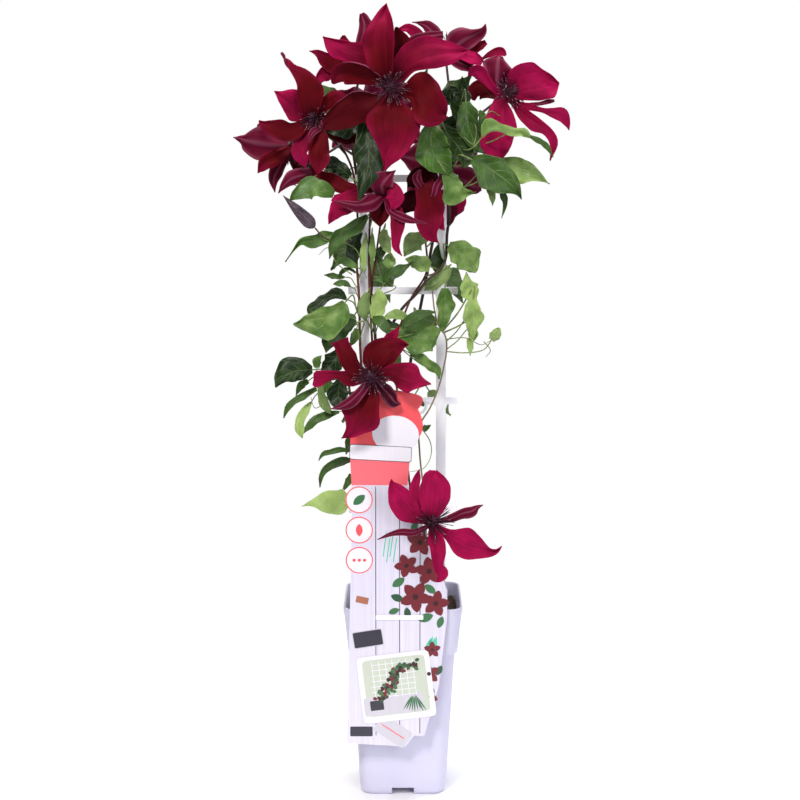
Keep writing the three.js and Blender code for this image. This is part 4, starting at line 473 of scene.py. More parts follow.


# at: centre. turn: which way it faces, 0 = the viewer, 90 = the viewer's right. pitch: upwards.
# tint: 0 crimson, 1 magenta, below 0 deeper as painted shade. tuft: how far its stamens spread in degrees,
# and their size.
# tepals: rows of (aside, forwards, up, left half width, right half width) from base to tip, measured from
# the centre, with one half width where both are alike. Then what sets the tepal apart: back makes it show
# its underside, the rest is as in addBlade. The two blooms behind, l and m, have (angle round the bloom,
# reach, lift forwards, width, bow forwards, roll) in place of the rows.
blooms = {
    "a": {"at": (-10, -62, 631), "turn": 0, "pitch": 6, "tint": -0.08, "tuft": (84, 1.12), "tepals": [
        ([(4, 0, 6, 6), (16, 8, 19, 15, 7), (30, 11, 26, 16, 11), (47, 7, 29, 11), (65, -2, 31, 0)],
         {"cup": 0.12, "tint": 0.3}),
        ([(6, -6, 23, 3), (17, -10, 39, 4, 5), (29, -11, 43, 4, 5), (44, -11, 45, 3)],
         {"back": 1, "tint": 0.5}),
        ([(2, -3, 10, 3), (6, -8, 26, 8), (7, -9, 39, 7, 9), (4, -8, 51, 1)], {"tint": -0.5}),
        ([(-1, 0, 5, 3, 2), (-2, 9, 20, 17, 7), (-3, 14, 35, 21, 11), (-3, 17, 49, 17, 11),
          (-4, 14, 59, 9, 6), (-4, 8, 68, 0)], {"hinge": (8, 62), "cup": 0.1, "tint": 0.15}),
        ([(-6, 0, 10, 3), (-22, 4, 23, 8, 13), (-36, 7, 30, 9), (-46, 7, 35, 10, 5), (-57, 3, 42, 0)],
         {"cup": 0.12, "tint": 0.3}),
        ([(-8, 2, 3, 3), (-18, 9, 7, 5, 11), (-30, 14, 10, 8, 13), (-42, 16, 11, 8, 9), (-49, 14, 3, 1)],
         {"margin": (0, 175), "flat": 0.62, "cup": 0.3, "tint": -0.3}),
        ([(-10, 0, -8, 3), (-23, 0, -13, 13), (-37, -2, -20, 13), (-50, -4, -28, 9), (-59, -5, -34, 0)],
         {"margin": (0, 150), "flat": 0.8, "tint": -0.6}),
        ([(-1, 2, -8, 5, 6), (0, 6, -20, 18), (0, 9, -33, 24, 21), (-1, 8, -47, 18, 12), (-4, 5, -60, 8, 4),
          (-5, 2, -70, 0)], {"cup": 0.1}),
        ([(8, 2, -3, 3), (17, 6, -6, 19, 5), (25, 8, -10, 22, 14), (34, 8, -16, 15, 17),
          (42, 4, -21, 8, 10), (48, 0, -24, 0)], {"wave": 0.3, "tint": -0.1}),
    ]},
    "b": {"at": (90, -24, 627), "turn": 32, "pitch": 20, "tint": 0.7, "tuft": (84, 1.2), "tepals": [
        ([(2, 2, -1, 4, 3), (8, 7, 1, 17, 7), (17, 13, 4, 22, 10), (27, 15, 6, 19, 12), (36, 15, 8, 10, 12),
          (44, 13, 9, 0)], {"cup": 0.25}),
        ([(-6, 0, -1, 3), (-9, 2, 10, 6, 10), (-9, 3, 19, 11, 15), (-8, 2, 27, 12, 8), (-7, 0, 32, 3)],
         {"back": 1, "tint": -0.3}),
        ([(-4, 0, -4, 2), (-11, 6, 4, 3), (-18, 10, 12, 5, 4), (-25, 10, 19, 7, 6), (-31, 8, 18, 4),
          (-34, 7, 15, 0)], {"hinge": (0, 35), "tint": 0.1}),
        ([(-7, -6, -2, 3), (-15, -12, 2, 6, 7), (-23, -16, 4, 8, 9), (-27, -18, 1, 5, 7),
          (-28, -18, -5, 1)], {"tint": -1}),
        ([(-4, 1, -5, 5, 7), (-6, 7, -15, 12, 10), (-7, 11, -26, 15, 13), (-8, 12, -38, 14, 16),
          (-8, 11, -49, 9, 12), (-8, 9, -59, 0)], {"cup": -0.05, "groove": 0.2}),
        ([(5, 2, -8, 2), (15, 8, -18, 6), (25, 12, -25, 6, 8), (34, 14, -32, 5, 4), (40, 14, -42, 4),
          (37, 11, -57, 0)], {"hinge": (40, 0), "tint": -0.1}),
        ([(6, 2, -8, 2), (18, 10, -11, 3), (30, 13, -14, 2), (38, 15, -16, 4), (46, 15, -19, 7, 5),
          (51, 14, -25, 3), (53, 13, -31, 0)], {"tint": 0.1}),
        ([(13, 4, -8, 1), (26, 12, -9, 2, 1), (34, 14, -7, 2), (40, 14, -6, 1)], {"back": 1, "tint": 0.3}),
    ]},
    "c": {"at": (40, 10, 666), "turn": 170, "pitch": 35, "tint": 0.3, "tepals": [
        ([(-13, 2, 0, 3), (-27, 2, 12, 4, 6), (-35, 4, 19, 4), (-42, 4, 18, 2), (-47, 4, 17, 0)],
         {"tint": 0.2}),
        ([(-9, 0, 2, 4), (-13, 2, 13, 8, 7), (-19, 4, 20, 4, 6), (-26, 5, 23, 1, 2), (-32, 5, 24, 0)],
         {"back": 1}),
        ([(3, 0, -3, 4), (7, 6, 3, 12, 7), (13, 8, 8, 13, 10), (22, 10, 13, 5, 8), (29, 12, 17, 2, 5),
          (32, 12, 22, 0)], {"back": 1}),
        ([(13, 2, -4, 3), (21, 4, 0, 4), (28, 5, 4, 4), (33, 5, 7, 2)], {"tint": -0.5}),
        ([(8, 3, 1, 3), (13, 10, -4, 5), (22, 14, -8, 6, 5), (29, 16, -12, 3, 2)], {"tint": 0.4}),
        ([(20, 6, -11, 2), (29, 7, -8, 1), (35, 8, -4, 2, 3), (40, 10, -2, 3, 4), (46, 11, -2, 4),
          (50, 12, -5, 1)], {"margin": (0, 120), "flat": 0.7, "tint": -0.1}),
        ([(0, -2, -5, 4), (8, 0, -9, 6), (17, 2, -14, 5), (23, 2, -18, 1)], {"back": 1, "tint": -0.6}),
    ]},
    "d": {"at": (-45, 6, 652), "turn": -150, "pitch": 25, "tint": 0.05, "tepals": [
        ([(4, 2, 2, 3), (8, 4, 18, 5, 8), (11, 6, 32, 5, 8), (10, 6, 40, 4, 6), (8, 6, 45, 1, 3)],
         {"back": 1, "hinge": (0, 20)}),
        ([(-6, 0, -4, 3), (-15, 2, 0, 7, 8), (-23, 4, 6, 7, 6), (-30, 6, 11, 3), (-37, 6, 13, 0)],
         {"tint": -0.1}),
        ([(-8, -2, -5, 3), (-20, 0, -6, 6, 7), (-27, 2, -10, 5), (-29, 3, -16, 1)], {"tint": 0.2}),
        ([(-2, -4, 0, 4), (-5, -3, 11, 8), (-7, -2, 20, 6), (-7, -2, 27, 1)], {"tint": -0.3}),
    ]},
    "e": {"at": (-75, -36, 607), "turn": -20, "pitch": 12, "tint": 0, "tuft": (84, 1.1), "tepals": [
        ([(3, 4, 1, 3), (8, 10, 10, 5, 7), (16, 13, 16, 6, 7), (23, 14, 17, 4), (30, 14, 17, 0)],
         {"margin": (0, 160), "flat": 0.65, "tint": -0.2}),
        ([(-2, 4, 0, 4, 3), (-4, 13, 10, 9), (-5, 19, 22, 11, 12), (-10, 22, 32, 7, 9), (-19, 21, 41, 3),
          (-25, 19, 48, 3), (-28, 18, 54, 0)], {"twist": 150, "cup": 0.25, "tint": -0.1}),
        ([(-6, 2, 0, 4), (-15, 8, 7, 12, 13), (-23, 11, 13, 8, 12), (-30, 10, 18, 3, 5), (-35, 9, 22, 0)],
         {"tint": 0.4}),
        ([(-5, 2, -4, 4), (-20, 9, -11, 9, 6), (-32, 13, -10, 8), (-43, 13, -7, 5, 4), (-48, 12, -3, 0)],
         {"cup": 0.2, "tint": -0.2}),
        ([(-2, 2, -4, 4), (-11, 7, -21, 6, 7), (-14, 9, -30, 7), (-11, 9, -38, 5, 3), (-9, 8, -43, 0)],
         {"tint": 0.4}),
        ([(2, 4, -4, 4), (3, 12, -18, 8, 9), (3, 18, -30, 9), (3, 18, -39, 8), (1, 16, -49, 0)],
         {"cup": -0.3, "groove": 0, "tint": -0.3}),
        ([(3, 10, -9, 3, 2), (-1, 17, -12, 3), (-4, 20, -17, 2), (-6, 20, -23, 0)], {"back": 1}),
        ([(5, -4, -2, 5), (17, -6, -8, 11), (28, -8, -15, 9), (37, -8, -20, 1)], {"tint": -0.8}),
    ]},
    "f": {"at": (-100, 0, 582), "turn": -165, "pitch": -20, "tint": -0.1, "tepals": [
        ([(1, 0, 1, 3), (-12, 9, 1, 11, 10), (-26, 13, 3, 15), (-37, 12, 5, 10, 8), (-43, 10, 7, 4, 3),
          (-49, 9, 8, 0)],
         {"back": 1, "cup": 0.12, "wave": 0.3, "groove": 0.2, "margin": (0, -90), "flat": 0.8}),
        ([(1, 6, -1, 3), (-9, 16, -7, 7, 5), (-18, 20, -12, 8, 7), (-23, 20, -18, 4), (-27, 19, -23, 0)],
         {"tint": -0.1}),
        ([(0, 0, -3, 3), (-5, 4, -12, 4), (-11, 6, -22, 5, 7), (-14, 6, -30, 4), (-13, 6, -40, 0)],
         {"back": 1, "tint": 0.5}),
        ([(0, -4, 5, 3), (-12, -8, 10, 7), (-22, -8, 16, 8, 5), (-29, -8, 19, 1)], {"back": 1}),
        ([(0, -3, 0, 5), (8, -5, -12, 9), (14, -6, -24, 8), (17, -6, -33, 1)], {"tint": -0.8}),
    ]},
    "k": {"at": (-79, -22, 566), "turn": 176, "pitch": -22, "tint": 0, "tepals": [
        ([(4, 0, -4, 4), (-6, 10, -8, 5, 6), (-16, 14, -11, 6, 7), (-23, 14, -16, 4), (-29, 12, -24, 0)],
         {"back": 1, "cup": 0.2, "tint": 0.8}),
        ([(-2, 0, 1, 3), (8, 10, -9, 5), (18, 15, -14, 8, 7), (28, 16, -19, 7, 6), (36, 16, -21, 5, 4),
          (40, 16, -24, 1)], {"margin": (130, 0), "flat": 0.7, "tint": -0.3}),
        ([(3, -4, -8, 4), (-4, -6, -15, 6), (-9, -6, -21, 1)], {"tint": 0.3}),
    ]},
    "g": {"at": (-15, -38, 546), "turn": -8, "pitch": -30, "tint": 0.3, "tuft": (60, 0.6), "tepals": [
        ([(-9, 2, -11, 4), (-25, 9, -11, 7, 8), (-37, 12, -15, 8, 10), (-44, 12, -23, 4, 6),
          (-49, 11, -30, 0)], {}),
        ([(-30, 6, -4, 3), (-35, 8, -6, 4, 3), (-42, 8, -8, 3), (-47, 8, -10, 0)], {"tint": 0.4}),
        ([(-4, 6, -6, 4), (-12, 18, -11, 8), (-23, 22, -13, 7, 3), (-33, 22, -12, 4, 2), (-44, 20, -10, 0)],
         {"back": 1, "cup": 0.2, "tint": 0.8}),
        ([(-2, 6, -4, 5), (-3, 18, 3, 10, 9), (1, 22, 9, 9, 7), (5, 22, 13, 3), (9, 20, 16, 0)],
         {"back": 1, "cup": 0.2}),
        ([(0, 8, 4, 4), (6, 19, 0, 6, 8), (9, 21, -8, 7, 8), (6, 19, -17, 1)], {"cup": -0.25}),
        ([(2, 8, -8, 3), (7, 15, -19, 7, 4), (10, 18, -30, 7, 6), (9, 18, -42, 4), (9, 17, -50, 3),
          (14, 16, -57, 0)], {"cup": 0.3}),
        ([(3, 14, -17, 3), (12, 22, -23, 4), (21, 24, -26, 3), (30, 24, -28, 1), (37, 22, -30, 0)],
         {"back": 1, "tint": 0.6}),
        ([(-2, 0, -2, 6), (-4, 2, -14, 10), (-5, 4, -24, 8), (-5, 4, -32, 1)], {"tint": -1}),
    ]},
    "h": {"at": (20, -26, 541), "turn": 14, "pitch": -32, "tint": 0.05, "tuft": (50, 0.55), "tepals": [
        ([(-2, 10, 9, 8), (1, 14, -6, 15, 10), (2, 14, -18, 13, 12), (3, 13, -28, 10), (6, 10, -35, 4, 7),
          (11, 8, -42, 0)], {"cup": 0.25}),
        ([(4, 6, -9, 3), (10, 12, -20, 5), (13, 13, -27, 3), (16, 13, -31, 0)], {"tint": 0.2}),
        ([(5, 8, -7, 3), (8, 16, 0, 4), (10, 18, 7, 4), (13, 18, 13, 3), (12, 16, 19, 1)],
         {"back": 1, "margin": (90, 0), "tint": 0.8}),
        ([(-2, 8, 4, 3), (-6, 15, 10, 4, 3), (-8, 17, 15, 4), (-5, 16, 21, 1)], {"back": 1, "tint": 0.8}),
        ([(-1, 0, 2, 5), (-1, 0, 9, 15, 13), (-4, 4, 18, 14, 12), (-6, 4, 24, 4)],
         {"cup": 0.2, "tint": -1.2}),
        ([(-3, 0, -1, 4), (-11, -2, -5, 10, 9), (-17, -4, -11, 7), (-20, -4, -17, 1)], {"tint": -1.2}),
        ([(8, -4, 0, 3), (20, -10, -1, 5), (30, -12, -5, 5), (31, -12, -12, 3), (28, -12, -17, 0)],
         {"tint": 0.7}),
    ]},
    "i": {"at": (-27, -66, 385), "turn": 0, "pitch": 12, "tint": -0.15, "tuft": (84, 1.15), "tepals": [
        ([(5, 2, 0, 3), (16, 6, 4, 8, 7), (25, 9, 3, 11), (35, 8, 1, 11, 14), (42, 6, -2, 4, 6),
          (51, 4, -5, 0)], {"wave": 0.3, "tint": 0.3}),
        ([(2, 3, 4, 3, 4), (4, 6, 12, 13, 8), (10, 9, 21, 15, 12), (18, 8, 27, 10), (25, 6, 29, 5, 6),
          (31, 4, 29, 0)], {"cup": 0.15, "tint": -0.1}),
        ([(6, -4, 9, 3), (13, -6, 29, 5), (19, -6, 36, 4), (24, -7, 44, 0)], {"tint": 0.1}),
        ([(-4, 2, 3, 4, 3), (-14, 6, 10, 9, 5), (-21, 8, 19, 7, 8), (-25, 7, 28, 7), (-27, 6, 33, 8, 7)],
         {"tint": -0.1}),
        ([(-4, 2, 0, 3), (-18, 6, 0, 7), (-29, 9, 3, 3, 4), (-39, 10, 2, 5, 6), (-46, 9, 0, 7),
          (-50, 8, 0, 5)], {"tint": 0.2}),
        ([(-3, 6, -4, 3), (-10, 14, -11, 5, 4), (-18, 18, -18, 6, 4), (-26, 18, -23, 3), (-35, 16, -25, 0)],
         {"back": 1, "cup": 0.2, "tint": 0.7}),
        ([(0, 4, -7, 4), (-3, 8, -16, 11, 9), (-9, 11, -27, 17, 16), (-12, 11, -36, 17, 13),
          (-18, 9, -45, 8, 5), (-26, 8, -52, 0)], {"cup": 0.15, "tint": 0.1}),
        ([(4, -2, -4, 3), (11, 0, -11, 6, 5), (16, 1, -16, 6, 7), (20, 1, -21, 3, 6), (25, 0, -23, 0)],
         {"back": 1, "tint": -1.2}),
    ]},
    "j": {"at": (25, -72, 259), "turn": 8, "pitch": 25, "tint": 0.8, "tuft": (88, 1.4), "tepals": [
        ([(0, 4, 4, 3), (1, 11, 15, 11, 10), (2, 15, 26, 13), (2, 15, 36, 12, 13), (1, 13, 44, 9, 7),
          (1, 12, 48, 3)], {"cup": 0.3}),
        ([(-5, 4, 5, 3), (-12, 12, 19, 5, 4), (-15, 14, 31, 5, 4), (-13, 13, 42, 3), (-11, 12, 49, 0)],
         {"tint": -0.2}),
        ([(-7, 4, 2, 3), (-16, 11, 10, 10, 8), (-24, 13, 19, 13, 11), (-30, 13, 29, 9, 8), (-34, 12, 36, 3),
          (-35, 11, 40, 0)], {"cup": 0.2}),
        ([(6, 4, 2, 2), (16, 8, 5, 4), (26, 10, 10, 4, 5), (34, 10, 12, 4, 5), (39, 9, 15, 2),
          (44, 8, 17, 0)], {"back": 1, "wave": 0.5, "tint": 0.1}),
        ([(5, 6, -3, 3), (16, 13, -8, 5, 7), (27, 18, -13, 13, 14), (38, 19, -17, 9, 13),
          (48, 17, -21, 3, 6), (55, 15, -21, 1, 3), (60, 14, -18, 0)], {"cup": 0.15, "tint": 0.1}),
        ([(0, 7, -4, 3), (3, 15, -15, 8), (4, 18, -24, 8, 7), (5, 17, -35, 5), (8, 16, -42, 6, 5),
          (5, 15, -49, 2)], {"hinge": (0, 45)}),
        ([(-5, 6, -3, 2), (-16, 13, -6, 3), (-26, 17, -5, 3), (-36, 17, -7, 2), (-47, 15, -12, 0)],
         {"back": 1, "tint": -0.2}),
    ]},
    "l": {"at": (-22, 72, 606), "turn": 184, "pitch": 16, "tint": 0.3, "tepals": [
        (33, 48, 4, 32, 6, 8, {}),
        (92, 52, 2, 32, 6, 0, {}),
        (150, 50, 4, 32, 6, -8, {}),
        (208, 46, 2, 31, 5, 0, {}),
        (268, 54, 4, 35, 6, 0, {}),
        (330, 50, 0, 32, 6, -8, {}),
    ]},
    "m": {"at": (34, 70, 560), "turn": 158, "pitch": 4, "tint": 0.35, "tepals": [
        (18, 44, 2, 30, 5, 0, {}),
        (80, 44, 0, 30, 6, 0, {}),
        (142, 46, 2, 29, 5, 0, {}),
        (204, 44, 0, 31, 6, -10, {}),
        (262, 52, 2, 34, 6, 0, {}),
        (318, 48, 0, 31, 6, 10, {}),
    ]},
}

# A layer parts tepals that lie over each other. root and rootHalf: how far from the centre a tepal's first
# row lies, and its least half width there.
receptacle = {
    "radius": 6, "back": 2.6, "front": 3.2, "layer": 1.5, "root": 4.4, "rootLayer": 1, "rootHalf": 3.4,
}


def bloomAxes(turn, pitch):
    t, p = math.radians(turn), math.radians(pitch)
    out = Vector((math.sin(t) * math.cos(p), -math.cos(t) * math.cos(p), math.sin(p)))
    right = Vector((math.cos(t), math.sin(t), 0))
    return out, right, out.cross(right)


def addRod(bm, start, end, radii, sides, finish):
    line = end - start
    turn = line.to_track_quat("Z", "Y").to_matrix().to_4x4()
    made = bmesh.ops.create_cone(bm, cap_ends=True, segments=sides, radius1=radii[0], radius2=radii[1],
                                 depth=line.length, matrix=Matrix.Translation((start + end) / 2) @ turn)
    for face in {face for v in made["verts"] for face in v.link_faces}:
        face.material_index = finish


def rooted(rows, out, layer):  # a tepal's rows as offsets from the centre, from its root on the receptacle
    offsets = [(aside, -front, rise, *halves) for aside, front, rise, *halves in map(bothHalves, rows)]
    first = Vector(offsets[0][:3])
    level = first - out * first.dot(out)
    root = level.normalized() * min(receptacle["root"], level.length / 2) + out * layer
    halves = [max(half, receptacle["rootHalf"]) for half in offsets[0][3:]]
    return [(*root, *halves)] + offsets


def courseTepal(rows, centre, out, layer, swap):  # swap: -1 for one that shows its underside
    return {
        "course": [(*(centre + Vector(row[:3])), *row[3:][::swap]) for row in rooted(rows, out, layer)],
        "face": Vector((0, -swap, 0)),
    }


def plainTepal(angle, reach, lift, width, bow, roll, centre, axes, layer):
    out, right, up = axes
    way = right * math.cos(math.radians(angle)) + up * math.sin(math.radians(angle))
    return {
        "base": centre + way * (receptacle["radius"] - 2) + out * layer,
        "tip": centre + way * reach + out * (lift + layer),
        "face": out, "width": width, "bow": bow, "roll": roll,
    }


def buildTepals(key, bloom):
    axes = bloomAxes(bloom["turn"], bloom["pitch"])
    out = axes[0]
    centre = Vector(bloom["at"])
    bm = bmesh.new()
    for k, (*place, extra) in enumerate(bloom["tepals"]):
        tint = bloom["tint"] + extra.get("tint", 0) + 0.1 * math.sin(3.7 * k)  # no two quite alike
        over = -1 if k % 2 else 1  # every other tepal lies under its neighbours
        if len(place) == 1:
            swap = -1 if "back" in extra else 1
            spec = courseTepal(place[0], centre, out, over * receptacle["rootLayer"], swap)
        else:
            spec = plainTepal(*place, centre, axes, over * receptacle["layer"])
        addBlade(bm, petalForm, {**spec, **extra, "tint": tint}, k)
    finishPiece(f"bloom_{key}_petals", bm, [petalFace, petalBack], [f"bloom_{key}_tepals"],
                thick=petalForm["thick"], sharp=180)
    bm = bmesh.new()
    depth = receptacle["front"] + receptacle["back"]
    addRod(bm, centre - out * receptacle["back"], centre + out * receptacle["front"],
           (receptacle["radius"] - 2.5, receptacle["radius"] - 1), 16, 0)
    bmesh.ops.bevel(bm, geom=bm.edges[:], offset=depth / 6, affect="EDGES", segments=3, profile=0.5,
                    material=-1)
    finishPiece(f"bloom_{key}_receptacle", bm, [flowerStalk], [f"bloom_{key}_tepals"])


# Stamens: fine wine-purple filaments with dark anthers, many of them edged with a pale streak, round a tuft
# of styles. Shares run from the middle of the tuft (0) to its outside (1).
stamens = {
    "count": 96,
    "spread": 84,  # degrees that the outermost lean, where the bloom doesn't say
    "upright": 12,  # degrees that the innermost lean
    "long": 12,
    "goldenAngle": 137.5,  # from one to the next, as they grow
    "ring": (1.2, 3.4),  # how far out the innermost stands, and how much farther the outermost
    "sunk": 1.0,  # into the receptacle
    "paleShare": 0.62,
    "filament": (0.26, 0.22),  # radii at the two ends
    "anther": (0.3, 0.34),
    "tip": (0.36, 0.12),
}
styles = {"count": 18, "long": 8.2, "radii": (0.5, 0.28), "upright": 4, "leanStep": 2.1, "apart": 0.12}


def buildStamens(key, bloom):
    out, right, up = bloomAxes(bloom["turn"], bloom["pitch"])
    foot = Vector(bloom["at"]) + out * (receptacle["front"] + gap)
    draw = random.Random("stamens " + key)
    spread, size = bloom.get("tuft", (stamens["spread"], 1))
    near, farther = stamens["ring"]
    bm = bmesh.new()

    def leaning(around, lean):  # the way outwards and the way along
        way = right * math.cos(around) + up * math.sin(around)
        return way, out * math.cos(lean) + way * math.sin(lean)

    for k in range(stamens["count"]):  # the outer ones lean out and most have a pale edge
        share = k / (stamens["count"] - 1)
        around = k * math.radians(stamens["goldenAngle"]) + draw.uniform(-0.2, 0.2)
        leanDegrees = stamens["upright"] + (spread - stamens["upright"]) * share ** 0.8 + draw.uniform(-8, 8)
        way, along = leaning(around, math.radians(leanDegrees))
        start = foot + way * (near + farther * share) - out * stamens["sunk"]
        long = size * stamens["long"] * (0.72 + 0.28 * share) * draw.uniform(0.82, 1.12)  # inner ones shorter
        bend = start + (along * 0.8 + out * 0.35) * long * 0.55  # where the anther begins
        end = bend + along * long * 0.45
        pale = share > 0.3 and draw.random() < stamens["paleShare"]
        addRod(bm, start, bend, stamens["filament"], 4, 0)
        addRod(bm, bend, end, stamens["anther"], 5, 1)
        tipStart = end - along * draw.uniform(0.2, 2.2)
        addRod(bm, tipStart, end + along * 1.0, stamens["tip"], 5, 2 if pale else 1)
    for k in range(styles["count"]):
        lean = math.radians(styles["upright"] + styles["leanStep"] * k)
        way, along = leaning(k * math.radians(stamens["goldenAngle"]), lean)
        start, end = foot + way * styles["apart"] * k, foot + along * styles["long"] * size
        addRod(bm, start, end, styles["radii"], 4, 3)
    finishPiece(f"bloom_{key}_stamen_tuft", bm, [filament, anther, pollenTip, style],
                [f"bloom_{key}_stamens"])


for key, bloom in blooms.items():
    buildTepals(key, bloom)
    buildStamens(key, bloom)
print("blooms made:", len(blooms))


# The bud: six closed tepals that show as ribs. fullAt is where it is widest, as a share of its length. swell
# and taper are the powers that round it below and above that.
bud = {
    "base": (-77, -30, 512),
    "tip": (-104, -34, 540),
    "radius": 6,
    "rings": 14,
    "crowding": 1.5,  # rings lie closer together at the base
    "ribs": 6,
    "ribDepth": 0.09,
    "ribTurn": 1.2,
    "fullAt": 0.2,
    "swell": 0.6,
    "taper": 1.6,
}

# Bud skin: purplish grey under a silvery down that brightens its edges. The down's hairs lie along the bud.
budLine = Vector(bud["tip"]) - Vector(bud["base"])
budSkin = grainMaterial("clematis bud, silky down", "#1e121b", "#6c5a68", {
    "mappings": [{"Rotation": budLine.to_track_quat("Z", "Y").inverted().to_euler()},
                 {"Scale": (1500, 1500, 60)}],  # hairs drawn 0.7 mm wide, so that they show
    "grain": {"Scale": 1.0, "Detail": 3.0},
    "stops": (0.3, 0.75),
    "bump": {"Strength": 0.5, "Distance": 0.0004},
    "skin": {"Roughness": 0.5, "Sheen Weight": 0.5, "Sheen Roughness": 0.3, "Sheen Tint": colour("#d9d0dc")},
})


def extrudeRing(bm, edges):
    grown = bmesh.ops.extrude_edge_only(bm, edges=edges)["geom"]
    ring = [g for g in grown if isinstance(g, bmesh.types.BMVert)]
    return ring, [g for g in grown if isinstance(g, bmesh.types.BMEdge)]


def buildBud():
    bm = bmesh.new()
    sides = bud["ribs"] * 4
    ring = bmesh.ops.create_circle(bm, segments=sides, radius=1)["verts"]
    edges = list({edge for v in ring for edge in v.link_edges})
    turn = budLine.to_track_quat("Z", "Y")
    for i in range(bud["rings"] + 1):
        t = (i / bud["rings"]) ** bud["crowding"]
        if i:
            ring, edges = extrudeRing(bm, edges)
        swell = math.sin(math.pi / 2 * min(1, t / bud["fullAt"])) ** bud["swell"]
        full = swell * (1 - max(0, (t - bud["fullAt"]) / (1 - bud["fullAt"])) ** bud["taper"])
        for k, v in enumerate(ring):
            around = 2 * math.pi * k / sides
            rib = 1 + bud["ribDepth"] * math.cos(bud["ribs"] * around + bud["ribTurn"] * t)
            radius = bud["radius"] * max(0.05, full) * rib
            spoke = Vector((radius * math.cos(around), radius * math.sin(around), budLine.length * t))
            v.co = Vector(bud["base"]) + turn @ spoke
        if i in (0, bud["rings"]):
            bmesh.ops.contextual_create(bm, geom=edges)
    finishPiece("closed_bud", bm, [budSkin], ["flower_bud"], recalc=True, sharp=80)


buildBud()
print("bud made")
